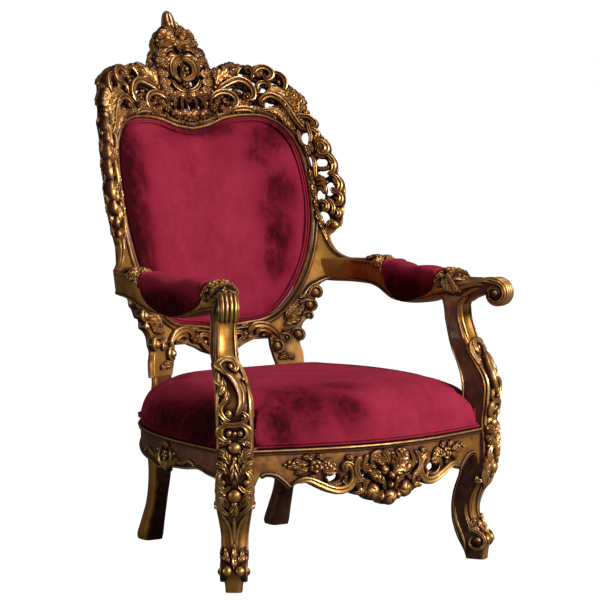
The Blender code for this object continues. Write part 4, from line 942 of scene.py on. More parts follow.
frontLeg = {  # (height, back, front, half width), the first two out along the leg's plane
    "block": 0.0465, "joint": 0.590, "hollow": 0.0050,
    "stations": [
        (0.000, -0.024, 0.030, 0.0215), (0.022, -0.031, 0.032, 0.0235), (0.050, -0.045, 0.036, 0.0300),
        (0.078, -0.056, 0.022, 0.0315), (0.110, -0.064, 0.008, 0.0315), (0.145, -0.065, 0.002, 0.0340),
        (0.180, -0.060, 0.010, 0.0390), (0.206, -0.052, 0.024, 0.0430), (0.240, -0.040, 0.036, 0.0450),
        (0.290, -0.034, 0.046, 0.0455), (0.340, -0.034, 0.044, 0.0455), (0.385, -0.034, 0.040, 0.0460),
        (0.430, -0.034, 0.045, 0.0465), (0.490, -0.036, 0.045, 0.0460), (0.535, -0.052, 0.022, 0.0420),
        (0.570, -0.075, -0.006, 0.0355), (0.600, -0.089, -0.024, 0.0325), (0.630, -0.097, -0.035, 0.0300),
        (0.655, -0.102, -0.042, 0.0290), (0.690, -0.103, -0.043, 0.0290), (0.730, -0.097, -0.029, 0.0290),
    ],
    "scrolls": [
        ([(-14, 556), (0, 545), (14, 524), (21, 500), (17, 476), (5, 458)], 12.5, 15, 4, None, None, 0.12),
        ([(-6, 552), (-20, 562), (-26, 580), (-10, 592), (10, 588), (18, 572)],
         11, 10, 1, None, (8, 0.9, -1)),
        ([(6, 596), (22, 584), (32, 560), (37, 530)], 8, 7, 0),
        ([(-30, 560), (-34, 540), (-26, 524)], 9, 9, 1),
        ([(-14, 494), (-28, 486), (-33, 468), (-22, 450), (-8, 446)], 9, 11, 3),
        ([(12, 460), (22, 466), (32, 456), (26, 442)], 8, 10, 2),
        ([(-34, 448), (-20, 436), (-2, 434), (16, 438), (34, 448)], 10, 11, 3),
    ],
    "leaves": [
        ([(-22, 548), (-24, 526), (-34, 506)], 16, 10, 1, 3),
        ([(-14, 520), (-18, 500), (-30, 484)], 14, 9, 1, 3),
    ],
    "pairs": {  # made on one side of the middle and mirrored
        "scrolls": [
            ([(4, 432), (18, 436), (32, 426), (34, 408), (22, 396), (10, 402)], 10, 12, 3),
            ([(8, 388), (20, 392), (30, 382)], 9, 10, 2),
            ([(14, 326), (26, 320), (36, 306), (37, 286), (28, 272), (16, 276)], 8, 10, 2),
            ([(10, 282), (24, 268), (40, 262)], 8, 10, 2),
            ([(42, 262), (40, 236), (26, 212), (8, 202)], 9, 9, 1),
            ([(40, 340), (40.5, 380), (40.5, 430), (40, 480), (37, 530)], 5.5, 5, 0, None, None, 0.1),
            ([(30, 204), (20, 184), (10, 160), (6, 130), (5, 106)], 6, 6, 0, None, None, 0.1),
        ],
        "leaves": [
            ([(10, 330), (18, 346), (30, 362), (42, 366)], 22, 13, 3, 4, 3),
            ([(12, 302), (22, 320), (34, 336), (44, 342)], 18, 12, 3, 4, 2),
            ([(16, 404), (28, 392), (36, 376)], 12, 9, 2, 3),
            ([(40, 296), (34, 262), (20, 234), (8, 216)], 22, 11, 1, 5),
            ([(32, 258), (30, 240), (20, 222)], 14, 9, 3, 4), ([(8, 72), (17, 90), (22, 112)], 10, 8, 1, 3),
        ],
        "beads": [
            (15, 413, 10.5, 3), (29.5, 288, 9.5, 4), (12, 354, 5, 4), (38, 316, 5, 3), (15.5, 56, 12.5, 1),
        ],
    },
    "middle": {
        "leaves": [
            ([(0, 346), (0, 316), (0, 284)], 22, 17, 4, 3), ([(0, 238), (0, 216), (0, 196)], 22, 10, 2, 4),
            ([(1, 58), (1, 84), (0, 122)], 12, 10, 3, 3, 6),
        ],
        "scrolls": [([(0, 200), (0, 165), (0, 125)], 7, 7, 0, None, None, 0.0)],
        "beads": [
            (0, 374, 18.5, 2), (0, 346, 8.5, 7), (0, 254, 19, 3), (0, 233, 8, 9), (0, 413, 6.5, 7),
            (-13, 462, 11, 4), (3, 573, 7, 5), (22, 452, 5.5, 5), (-28, 516, 5, 4), (6, 546, 4.5, 4),
            (28, 544, 4.5, 3),
        ],
        "flowers": [(0, 233, 9, 8, 4, 6)],
    },
    "toe": {  # on the sides of the foot
        "scrolls": [
            ([(-4, 196), (-16, 160), (-18, 128), (-10, 102), (4, 82), (22, 74), (34, 62), (34, 44), (22, 32),
             (4, 32), (-8, 46), (-2, 62), (10, 66)], 7, 6, 0, None, None, 0.3),
            ([(-40, 170), (-50, 140), (-46, 106), (-34, 76), (-24, 50), (-20, 24)], 5.5, 4, 0, None, None, 0),
        ],
        "leaves": [([(-6, 74), (-2, 94), (6, 112)], 16, 7, 1, 3)],
    },
    "cusp": {"leaves": [([(34, 224), (46, 222), (58, 232)], 14, 8, 1, 2, 3)]},  # below the knee
}
legCurve = smooth(frontLeg["stations"], 8)


def onLegFront(u, v, proud):  # across and up the carved face of the leg, whose edges are rounded over
    u, v, proud = together(u, v, proud)
    front = np.interp(v, legCurve[:, 0], legCurve[:, 2])
    slope = np.interp(v, legCurve[:, 0], np.gradient(legCurve[:, 2], legCurve[:, 0]))
    halfWidth = np.interp(v, legCurve[:, 0], legCurve[:, 3])
    side, drop, leanSide, leanOut = wrapped(u, halfWidth, leg["round"])
    tilt = 1 / np.sqrt(1 + slope**2)
    out = front - drop + proud * leanOut * tilt
    return onLeg(out, side + proud * leanSide, v - proud * leanOut * tilt * slope)


flare = {"from": 0.666, "rise": 0.048, "rear": 0.030, "front": 0.020}


def flaring(z):  # how far the support has hollowed out towards the arm at that height
    return 1 - np.sqrt(1 - np.clip((z - flare["from"]) / flare["rise"], 0, 1) ** 2)


def legPart(low, high, square=5.0):
    keep = legCurve[(legCurve[:, 0] > low) & (legCurve[:, 0] < high), 0]
    close = high - np.array([0.0075, 0.0035, 0.0012] if high > flare["from"] else [0])
    heights = np.unique(np.r_[low, keep, close, high])
    sections = np.stack([np.interp(heights, legCurve[:, 0], legCurve[:, k]) for k in (1, 2, 3)], -1)
    rings, tones = [], []
    for z, (rear, front, halfWidth) in zip(heights, sections):
        rear, front = rear - flare["rear"] * flaring(z), front + flare["front"] * flaring(z)
        a, b = roundedRing((front - rear) / 2, halfWidth, 56, square)
        hollow = frontLeg["hollow"] * np.clip((z - 0.585) / 0.030, 0, 1)
        # painted shade: the sides are painted darker than the front, and a little less dark on the support
        facing = np.clip((2 * a / (front - rear) - 0.70) / 0.25, 0, 1)
        sideShade = 0.33 + 0.14 * np.clip((z - 0.60) / 0.08, 0, 1)
        tones.append(sideShade + (0.64 - sideShade) * facing)
        a = a - hollow * np.maximum(0, 1 - (b / (0.70 * halfWidth)) ** 2) * (a > 0)
        rings.append(onLeg((front + rear) / 2 + a, b, z))
    return lofted(rings, np.array(tones))


# the raised line that follows both edges of the plain sides
def sideFillets(low, high, inset=0.006, tone=0.56):
    keep = evenly(legCurve[(legCurve[:, 0] > low) & (legCurve[:, 0] < high)], 60)
    a = 2 * math.pi * np.arange(8) / 8
    parts = []
    for side in (-1, 1):
        for column, way, hollow in ((1, 1, flare["rear"]), (2, -1, flare["front"])):
            middle = keep[:, column] + way * (inset + 0.004 - hollow * flaring(keep[:, 0]))
            rings = []
            for (z, _, _, halfWidth), out in zip(keep, middle):
                across = side * (halfWidth - 0.0022 + 0.0034 * np.sin(a))
                rings.append(onLeg(out + 0.0030 * np.cos(a), across, z + 0 * a))
            parts.append(lofted(rings, np.full((60, 8), tone)))
    return parts


# a band that winds in on itself, with a reeded outer face
def spiralTube(place, centre, radius, start, turns, halfWidth, thick, steps, reeds):
    across = np.linspace(-1, 1, 8 * reeds + 1 if reeds > 1 else 15)
    reed = np.abs(np.sin(math.pi * reeds * (across + 1) / 2)) ** 0.8
    crown = (1 - np.abs(across) ** 6) ** 0.5
    tone = (0.34 if reeds > 1 else 0.56) + (0.5 if reeds > 1 else 0.2) * reed * crown
    rings = []
    for t in np.linspace(0, 1, steps):
        angle = math.radians(start) + 2 * math.pi * turns * t
        reach = (radius - thick) * (1 - 0.80 * t)
        half = thick * (1 - 0.52 * t)
        wide = halfWidth * (1 - 0.10 * t)
        outer = reach + half * (0.35 + 0.40 * crown + 0.35 * reed * crown)
        inner = reach - half * np.array([0.5, 0.9, 1.0, 0.9, 0.5])
        side = np.r_[across * wide, np.array([0.97, 0.9, 0, -0.9, -0.97]) * wide]
        r = np.r_[outer, inner]
        rings.append(place(centre[0] + r * math.cos(angle), side, centre[1] + r * math.sin(angle)))
    return lofted(rings, np.r_[tone, np.full(5, 0.25)])


def frontLegParts():
    usual = dict(chisel)
    chisel.update(broad=1.62, leafy=1.60)
    parts = [legPart(0.0, frontLeg["joint"])] + sideFillets(0.03, 0.58)
    parts.append(placed(mirrored(carve(frontLeg["pairs"])), onLegFront))
    for plan in (frontLeg, frontLeg["middle"]):  # drawn for the left leg, which is made as a mirror image
        parts.append(placed(carve(plan), lambda u, v, proud: onLegFront(-u, v, proud)))
    for side in (-1, 1):  # the scrolled toe
        def place(out, across, z, side=side):
            return onLeg(out, side * 0.0225 + across, z)

        def cheek(u, v, proud, side=side):  # the plain side of the foot
            return onLeg(u, side * (0.0295 + proud), v)

        parts.append(spiralTube(place, (0.015, 0.053), 0.0240, 80, -1.35, 0.0092, 0.0066, 44, 1))
        parts.append(ballPart(onLeg(0.015, side * 0.0305, 0.052), 0.0118))
        parts.append(placed(carve(frontLeg["toe"]), cheek))
    parts.append(placed(mirrored(carve(frontLeg["cusp"])), onLegFront))
    chisel.update(usual)
    return parts


def ballPart(centre, radius):
    ball = newCarving()
    carveBead(ball, 0, 0, radius)
    return placed(ball, lambda u, v, proud: np.stack([u, v, proud], -1) + centre)


arm = {  # (x, y, bottom, top, half width), from the back forwards
    "stations": [
        (0.320, 0.2240, 0.716, 0.778, 0.004), (0.336, 0.2085, 0.714, 0.780, 0.009),
        (0.352, 0.190, 0.713, 0.781, 0.014), (0.375, 0.161, 0.713, 0.782, 0.018),
        (0.392, 0.118, 0.712, 0.783, 0.024), (0.398, 0.060, 0.710, 0.784, 0.028),
        (0.399, 0.010, 0.702, 0.780, 0.031), (0.397, -0.032, 0.690, 0.760, 0.034),
        (0.389, -0.090, 0.678, 0.722, 0.038), (0.376, -0.165, 0.677, 0.714, 0.039),
        (0.371, -0.235, 0.685, 0.722, 0.037), (0.370, -0.292, 0.699, 0.758, 0.033),
        (0.371, -0.330, 0.706, 0.773, 0.030), (0.3735, -0.368, 0.711, 0.769, 0.029),
    ],
    "neck": [
        (-0.016, 0.709, 0.769, 0.0285), (0.006, 0.701, 0.765, 0.0275), (0.022, 0.691, 0.759, 0.0265),
        (0.040, 0.698, 0.757, 0.0260), (0.056, 0.708, 0.760, 0.0255), (0.075, 0.716, 0.764, 0.0245),
        (0.098, 0.731, 0.766, 0.0235), (0.118, 0.743, 0.766, 0.0225),
    ],
    "volute": {
        "centre": (0.1175, 0.724), "radius": 0.0435, "start": 100, "turns": -1.75,
        "halfWidth": 0.0230, "thick": 0.0105,
        "core": [  # (across, share of the radius)
            (-0.0185, 0), (-0.0185, 0.66), (-0.015, 0.72), (0.015, 0.72), (0.0185, 0.66), (0.0185, 0),
        ],
    },
    "fillets": (0.150, -0.360), "pad": (-0.030, -0.300),  # from one depth to another
    "cheek": {  # on the sides of the neck
        "scrolls": [
            ([(-4, 720), (14, 733), (40, 743), (68, 748), (86, 748)], 8.5, 6, 0.8, None, None, 0.3, -2),
            ([(78, 738), (58, 733), (38, 722), (22, 708), (10, 705)],
             8, 5.5, 0.8, None, (6, 0.9, -1), 0.3, -2),
            ([(-16, 757), (12, 760.5), (42, 760), (74, 762)], 6, 4, 0.4, None, None, 0.2, -3),
        ],
        "leaves": [
            ([(-24, 766), (-21, 748.4), (-10, 730.8), (4, 722)], 15, 6.5, 1, 4, 1, 0, -6),
            ([(-8, 762), (-5, 747.6), (6, 733.2), (20, 726)], 15, 6.5, 1, 4, 1, 0, -6),
            ([(-34, 762), (-31, 747.6), (-20, 733.2), (-6, 726)], 15, 6.5, 1, 4, 1, 0, -6),
        ],
    },
    "supportEdge": {
        "scrolls": [([(22.5, 596), (21.5, 630), (21, 665), (21.5, 690)], 5, 4, 0, None, None, 0)],
    },
    "behindPad": {  # along the arm's top, as (distance from the pad, side)
        "flowers": [
            (20, 0, 17, 14, 5, 4), (52, 10, 15, 13, 5, 3), (50, -14, 13, 12, 5, 2), (78, -2, 14.5, 12, 5, 3),
            (28, 26, 13, 11, 5, 0), (26, -26, 13, 11, 5, 0), (60, 32, 11, 10, 4, 0), (60, -32, 11, 10, 4, 0),
        ],
        "leaves": [
            ([(84, 6), (100, 10), (122, 4)], 20, 10, 2, 4),
            ([(84, -10), (98, -14), (114, -12)], 16, 9, 1, 4),
            ([(36, 6), (44, 24), (40, 40)], 16, 10, 1, 3), ([(36, -6), (44, -24), (40, -40)], 16, 10, 1, 3),
            ([(4, 18), (10, 30), (12, 44)], 18, 10, 0, 3), ([(4, -18), (10, -30), (12, -44)], 18, 10, 0, 3),
        ],
        "beads": [
            (36, 0, 7.5, 8), (8, 10, 8, 6), (8, -12, 8, 6), (66, -10, 6.5, 8), (66, 20, 6, 4),
            (96, -2, 6, 6), (40, 36, 6, 3), (40, -36, 6, 3),
        ],
    },
    "beforePad": {
        "flowers": [
            (16, 2, 16.5, 14, 5, 4), (44, -8, 15.5, 13, 5, 4), (44, 17, 14, 12, 5, 2), (72, 4, 15, 13, 5, 4),
            (22, 30, 13, 10, 5, 0), (22, -30, 13, 10, 5, 0), (60, -30, 12, 10, 4, 0), (60, 32, 12, 10, 4, 0),
            (94, -12, 11, 11, 4, 3),
        ],
        "leaves": [
            ([(80, 12), (96, 16), (116, 10)], 20, 11, 2, 4),
            ([(80, -20), (94, -30), (108, -44)], 16, 10, 1, 4),
            ([(80, 24), (94, 32), (108, 46)], 16, 10, 1, 4), ([(6, 34), (18, 48), (34, 58)], 18, 10, 0, 4),
            ([(6, -34), (18, -48), (34, -58)], 18, 10, 0, 4), ([(34, 44), (52, 52), (74, 50)], 16, 9, 0, 4),
            ([(34, -44), (52, -52), (74, -50)], 16, 9, 0, 4),
        ],
        "beads": [
            (30, 6, 8, 8), (4, 14, 8.5, 5), (4, -12, 8.5, 5), (58, 4, 7.5, 8), (58, -20, 6, 5),
            (86, 2, 7, 7), (36, 34, 6, 2), (36, -34, 6, 2),
        ],
    },
    "onNeck": {"beads": [
        (0, 0, 7, 2), (14, 4, 6, 1), (27, -2, 6.5, 1), (40, 3, 5.5, 1), (6, 14, 5, 0), (20, -14, 5, 0),
        (34, 14, 5, 0),
    ]},
}
armCurve = smooth(arm["stations"], 8)
armSteps = distancesAlong(armCurve[:, :2])
armHeading = unit(np.gradient(armCurve[:, :2], axis=0))


def alongArm(y):  # distance along the arm at that depth
    return float(np.interp(-y, -armCurve[:, 1], armSteps))


def onArm(distance, u, proud):  # along and across the arm's top, which is rounded over to its sides
    distance, u, proud = together(distance, u, proud)
    x, y, top, halfWidth = (np.interp(distance, armSteps, armCurve[:, k]) for k in (0, 1, 3, 4))
    hx, hy = (np.interp(distance, armSteps, armHeading[:, k]) for k in range(2))
    side, drop, leanSide, leanUp = wrapped(u, halfWidth, np.minimum(0.014, halfWidth * 0.8))
    across = side + proud * leanSide
    return np.stack([x - hy * across, y + hx * across, top - drop + proud * leanUp], -1)


def armBody():
    rings = []
    for (x, y, low, top, halfWidth), (hx, hy) in zip(armCurve, armHeading):
        a, b = roundedRing(halfWidth, (top - low) / 2, 36, 3.4)
        rings.append(np.stack([x - hy * a, y + hx * a, (top + low) / 2 + b], -1))
    # painted light: the arm is painted lighter towards the post
    return lofted(rings, 0.58 + 0.13 * np.clip((armCurve[:, 1:2] - 0.07) / 0.10, 0, 1))


def armFillets(first, last):  # the raised lines along the edges of the arm's plain sides
    keep = (armCurve[:, 1] < first) & (armCurve[:, 1] > last)
    a = 2 * math.pi * np.arange(8) / 8
    parts = []
    for side in (-1, 1):
        for column, way in ((2, 1), (3, -1)):
            rings = []
            for row, (hx, hy) in zip(armCurve[keep], armHeading[keep]):
                across = side * (row[4] - 0.0012 + 0.0032 * np.cos(a))
                z = row[column] + way * (0.0075 + 0.0030 * np.sin(a))
                rings.append(np.stack([row[0] - hy * across, row[1] + hx * across, z], -1))
            parts.append(lofted(rings, np.full((len(rings), 8), 0.72)))
    return parts


def armParts():
    parts = [armBody(), legPart(frontLeg["joint"], 0.714)] + sideFillets(0.597, 0.711, 0.006, 0.50)
    neck = smooth(arm["neck"], 8)
    rings = []
    for out, low, top, halfWidth in neck:
        a, b = roundedRing(halfWidth, (top - low) / 2, 36, 3.6)
        rings.append(onNeck(out, a, (top + low) / 2 + b))
    # painted shade: the neck's sides are painted darker than its top
    parts.append(lofted(rings, 0.60 - 0.20 * np.clip(2.4 * np.abs(a) / halfWidth - 1.3, 0, 1)))
    volute = arm["volute"]
    (middleOut, middleZ), radius, wide = volute["centre"], volute["radius"], volute["halfWidth"]
    start, turns = volute["start"], volute["turns"]
    parts.append(spiralTube(onNeck, volute["centre"], radius, start, turns, wide, volute["thick"], 110, 4))
    rings = []
    around = 2 * math.pi * np.arange(32) / 32
    for across, share in volute["core"]:
        r = max(radius * share, 0.0005)
        rings.append(onNeck(middleOut + r * np.cos(around), across, middleZ + r * np.sin(around)))
    parts.append(lofted(rings, np.full((6, 32), 0.25)))
    t = np.linspace(0, 1, 26)[1:]
    angle = math.radians(start) + 2 * math.pi * turns * 0.80 * t
    reach = (radius - 0.0120) * (1 - 0.62 * t)
    winding = [(-0.014, 0.7340), (0.006, 0.7440), (0.034, 0.7520), (0.066, 0.7570), (0.092, 0.7600)]
    winding += list(zip(middleOut + reach * np.cos(angle), middleZ + reach * np.sin(angle)))
    for side in (-1, 1):
        def cheek(u, v, proud, side=side):  # the rounded side of the neck, and the flat side of the scroll
            low, top, halfWidth = (np.interp(u, neck[:, 0], neck[:, k]) for k in (1, 2, 3))
            level = np.clip(np.abs(v - (low + top) / 2) / ((top - low) / 2), 0, 0.985)
            rounded = halfWidth * (1 - level**3.6) ** (1 / 3.6)
            share = np.clip((u - 0.084) / 0.020, 0, 1)
            return onNeck(u, side * (rounded * (1 - share) + (wide - 0.004) * share + proud), v)

        parts.append(ballPart(onNeck(middleOut, side * (wide - 0.003), middleZ), 0.0110))
        ridges = carve(arm["cheek"])
        carveScroll(ridges, winding, 0.0095, 0.0060, 0.0012, None, None, 0.42, -0.002)
        parts.append(placed(ridges, cheek))
    supportEdges = mirrored(carve(arm["supportEdge"]))
    supportEdges["tones"] = [0.75 * t for t in supportEdges["tones"]]
    parts.append(placed(supportEdges, onLegFront))
    parts += armFillets(*arm["fillets"])
    behind, before = (alongArm(y) for y in arm["pad"])
    parts.append(placed(carve(arm["behindPad"]), lambda u, v, proud: onArm(behind - u, v, proud)))
    parts.append(placed(carve(arm["beforePad"]), lambda u, v, proud: onArm(before + u, v, proud)))
    outs, _, tops, _ = np.array(arm["neck"]).T
    beads = carve(arm["onNeck"])
    parts.append(placed(beads, lambda u, v, proud: onNeck(u, v, np.interp(u, outs, tops) + proud)))
    return parts


apron = {
    "outline": [
        (0.000, 0.204), (0.022, 0.207), (0.036, 0.219), (0.058, 0.220), (0.078, 0.233), (0.100, 0.238),
        (0.112, 0.249), (0.136, 0.243), (0.162, 0.248), (0.192, 0.262), (0.228, 0.278), (0.250, 0.275),
        (0.268, 0.265), (0.284, 0.280), (0.304, 0.297), (0.330, 0.303), (0.346, 0.296), (0.360, 0.272),
        (0.376, 0.255),
    ],
    "holes": [(156, 285, 19.5, 11.5, -8), (66, 284, 9, 5, 8)],
    "thickness": 0.026, "face": -0.001, "limit": 0.365,  # where the rail's face runs into the leg
    "arris": [(0.268, 0.2705), (0.2830, 0.2860), (0.3030, 0.3020), (0.3280, 0.3075), (0.3440, 0.3020)],
    "scrolls": [
        ([(268, 274), (250, 283), (226, 285), (196, 271), (166, 258), (140, 254), (118, 262), (106, 282),
         (107, 304), (116, 318)], 17, 13, 2, None, (12.5, 1.1, -1)),
        ([(184, 294), (172, 274), (152, 268), (134, 274)], 6, 8, 1),
        ([(84, 336), (98, 324), (101, 302), (92, 284), (78, 276)], 14, 14, 4),
        ([(110, 246), (96, 245), (82, 250), (76, 264), (84, 277), (98, 276)],
         10, 13, 4, None, (8, 1.0, -1)),
        ([(64, 340), (74, 328), (78, 308), (70, 294)], 11, 12, 4),
        ([(20, 342), (36, 345), (52, 338), (56, 324)], 10, 11, 4, None, (6, 0.8, -1)),
    ],
    "leaves": [
        ([(52, 298), (64, 304), (70, 318)], 16, 12, 4, 3),
        ([(148, 306), (162, 316), (178, 336)], 20, 9, 1, 4),
        ([(150, 300), (168, 302), (188, 306)], 18, 9, 1, 4),
        ([(226, 318), (240, 310), (258, 304)], 18, 9, 1, 4),
        ([(226, 326), (244, 328), (262, 338)], 16, 9, 1, 4),
        ([(204, 302), (210, 294), (224, 290)], 14, 8, 1, 3),
        ([(188, 330), (192, 340), (204, 346)], 13, 8, 1, 3),
        ([(240, 320), (256, 320), (274, 322)], 12, 8, 1, 3),
        ([(212, 336), (226, 342), (240, 344)], 12, 8, 1, 3),
        ([(104, 318), (112, 332), (126, 340)], 14, 10, 2, 3),
        ([(120, 262), (128, 274), (126, 290)], 12, 10, 2, 3),
        ([(22, 246), (30, 232), (34, 220)], 18, 12, 4, 3),
        ([(62, 246), (72, 244), (82, 238)], 14, 11, 4, 3),
        ([(58, 274), (70, 268), (80, 256)], 14, 10, 3, 3),
        ([(16, 262), (30, 272), (46, 276)], 20, 13, 6, 4),
        ([(40, 304), (52, 310), (66, 312)], 12, 10, 6, 3),
        ([(82, 300), (88, 314), (86, 330)], 12, 10, 4, 3),
    ],
    "flowers": [
        (208, 318, 19.5, 13, 5, 1), (184, 320, 14, 10, 5, 1, 0.5), (94, 262, 9, 12, 5, 5),
        (128, 311, 8, 11, 4, 3), (48, 333, 7, 11, 4, 4),
    ],
    "beads": [
        (252, 334, 6.5, 1), (264, 328, 6, 1), (274, 332, 5.5, 1), (262, 318, 5.5, 1), (274, 320, 5, 1),
        (284, 326, 4.5, 1), (36, 254, 5, 5), (66, 236, 5.5, 4), (24, 280, 5, 5), (58, 290, 4.5, 4),
    ],
    "buds": [(52, 243, 23.5, 19, 3, 3), (26, 228, 12, 16, 2, 3, -1), (88, 250, 12.5, 13, 2, 3)],
}
apronMiddle = {
    "leaves": [
        ([(6, 286), (22, 302), (36, 322), (48, 346)], 40, 17, 8, 5, 3),
        ([(8, 284), (28, 292), (52, 300), (68, 314)], 28, 14, 6, 4, 2),
        ([(-12, 306), (-26, 320), (-42, 330), (-58, 328)], 26, 14, 5, 4, 2),
        ([(-4, 310), (-10, 328), (-22, 345)], 24, 13, 4, 4, 2),
        ([(6, 304), (10, 324), (8, 344)], 18, 13, 4, 3),
        ([(-20, 286), (-42, 288), (-60, 298)], 24, 13, 5, 4, 2),
    ],
    "scrolls": [
        ([(-14, 270), (-20, 256), (-12, 244)], 8, 13, 4), ([(14, 270), (20, 256), (12, 244)], 8, 13, 4),
    ],
    "buds": [
        (0, 226, 22.5, 21, 3, 4, -1), (-20, 298, 15, 20, 3, 6), (2, 282, 12, 20, 2, 6, -1),
        (-36, 280, 11, 16, 2, 5), (0, 258, 11, 19, 2, 5),
    ],
    "beads": [(22, 272, 6.5, 12), (-24, 276, 5.5, 12)],
}
railMoulding = [
    (-0.0006, -0.006, 0.05), (-0.0006, 0.0060, 0.5), (0.0022, 0.0078, 0.95), (0.0050, 0.0060, 0.4),
    (0.0060, 0.0032, 0.15), (0.0078, 0.0030, 0.15), (0.0095, 0.0056, 0.85), (0.0118, 0.0040, 0.5),
    (0.0130, 0.0010, 0.1), (0.0130, -0.006, 0.05),
]


def meetingLeg(surface, along, side):  # how far along a rail's face the leg's flat side is met, by depth
    depths = np.linspace(-0.045, 0.030, 16)
    c, s = math.cos(leg["turn"]), math.sin(leg["turn"])
    ends = []
    for depth in depths:
        x, y, _ = surface(along, 0.3, depth).T
        across = c * (x - leg["x"]) + s * (y - leg["y"])
        ends.append(np.interp(side * (frontLeg["block"] - 0.0006), across, along))
    return depths, np.array(ends)


def apronParts():
    limit = apron["limit"]
    depths, ends = meetingLeg(onFrontRail, np.linspace(0.25, 0.42, 120), -1)

    def place(u, v, proud):
        u = np.asarray(u, float)
        near = np.clip((np.abs(u) - limit + 0.03) / 0.03, 0, 1)
        return onFrontRail(u + np.sign(u) * near * (np.interp(proud, depths, ends) - limit), v, proud)

    half = [(u, v) for u, v in smooth(apron["outline"], 4) if u < limit]
    half.append((limit, half[-1][1] - 0.002))
    outline = [(-u, v) for u, v in half[::-1]][:-1] + half + [(limit, rail["top"]), (-limit, rail["top"])]
    board = sawnBoard(outline, piercings(apron["holes"]), apron["face"], apron["thickness"], place)
    carving = carve(apron)
    carveMoulding(carving, smooth(apron["arris"], 6), filletProfile)
    mirrored(carving)
    carveMoulding(carving, [(u, rail["top"]) for u in np.linspace(-limit, limit, 60)], railMoulding)
    return [board, placed(carving, place), placed(carve(apronMiddle), place)]


sideRail = {
    "foot": [  # (share of the rail's length, height)
        (0.000, 0.286), (0.045, 0.290), (0.12, 0.300), (0.22, 0.292), (0.34, 0.286), (0.42, 0.276),
        (0.50, 0.284), (0.62, 0.290), (0.76, 0.302), (0.90, 0.306), (0.925, 0.305),
    ],
    "length": 0.76, "postFace": 0.2499, "thickness": 0.026, "ground": 0.42,
    "scrolls": [
        ([(239.4, 338), (229.52, 322), (234.08, 300), (250.8, 292)], 11, 10, 1, None, (9, 1.0, 1)),
        ([(292.6, 338), (302.48, 322), (297.92, 300), (281.2, 292)], 11, 10, 1, None, (9, 1.0, -1)),
        ([(247, 344), (266, 350), (285, 344)], 10, 9, 1),
        ([(212.8, 306), (174.8, 308), (136.8, 318), (110.2, 312)], 8, 6, 0, None, (6, 0.9, 1)),
        ([(319.2, 306), (357.2, 308), (402.8, 320), (433.2, 316)], 8, 6, 0, None, (6, 0.9, -1)),
    ],
    "flowers": [(266, 320, 16.5, 12, 5, 1)],
    "leaves": [
        ([(239.4, 306), (220.4, 304), (194.56, 316)], 18, 9, 1, 4),
        ([(292.6, 306), (311.6, 304), (337.44, 316)], 18, 9, 1, 4),
        ([(266, 300), (266, 290), (266, 278)], 20, 10, 2, 3),
    ],
    "beads": [(214.32, 328, 5.5, 2), (317.68, 328, 5.5, 2)],
}


def sideRailParts():
    scale, last = sideRail["length"], sideRail["foot"][-1][0]
    depths, starts = meetingLeg(onSideRail, np.linspace(-0.15, 0.25, 160), 1)
    along = np.linspace(0.80, 1.05, 160)
    ends = [np.interp(-sideRail["postFace"], -onSideRail(along, 0.3, depth)[:, 0], along) for depth in depths]

    def place(u, v, proud):
        u = np.asarray(u, float) / scale
        near, far = np.clip((0.06 - u) / 0.06, 0, 1), np.clip((u - last + 0.08) / 0.08, 0, 1)
        u = u + near * np.interp(proud, depths, starts) + far * (np.interp(proud, depths, ends) - last)
        return onSideRail(u, v, proud)

    foot = smooth(sideRail["foot"], 5) * (scale, 1)
    outline = foot.tolist() + [(scale * last, rail["top"]), (0.0, rail["top"])]
    board = sawnBoard(outline, [], 0.0, sideRail["thickness"], place, 0.015, tone=sideRail["ground"])
    carving = carve(sideRail)
    carveMoulding(carving, evenly(foot + (0, 0.002), 70), [(-a, b, t) for a, b, t in filletProfile])
    carveMoulding(carving, [(u, rail["top"]) for u in np.linspace(0, scale * last, 60)], railMoulding)
    return [board, placed(carving, place)]


rearRail = {"half": (0.1757, 0.0140, 0.0325), "middle": (0.0, 0.228, 0.3325), "ease": 0.004}


def rearRailPiece():
    bpy.ops.object.select_all(action="DESELECT")
    bpy.ops.mesh.primitive_cube_add(size=2)
    piece = bpy.context.object
    piece.name = piece.data.name = "rear_rail_made"
    piece.scale, piece.location = rearRail["half"], rearRail["middle"]
    bpy.ops.object.transform_apply(location=True, rotation=True, scale=True)
    eased = piece.modifiers.new("easedEdges", "BEVEL")
    eased.width, eased.segments = rearRail["ease"], 3
    bpy.ops.object.modifier_apply(modifier=eased.name)
    mark(piece, "reliefAndShade", np.full(len(piece.data.vertices), 0.4))
    bpy.ops.object.shade_smooth_by_angle(angle=math.radians(40))
    return piece


def coordinatesOf(mesh):
    found = np.empty(len(mesh.vertices) * 3, np.float32)
    mesh.vertices.foreach_get("co", found)
    return found.reshape(-1, 3).astype(float)


def moveTo(mesh, points):
    mesh.vertices.foreach_set("co", points.astype(np.float32).ravel())
    mesh.update()


def bodyPiece(name, rings):  # a plain closed body, ready to be stuffed
    points, _, faces = lofted(rings)
    return meshPiece(name, points, faces)


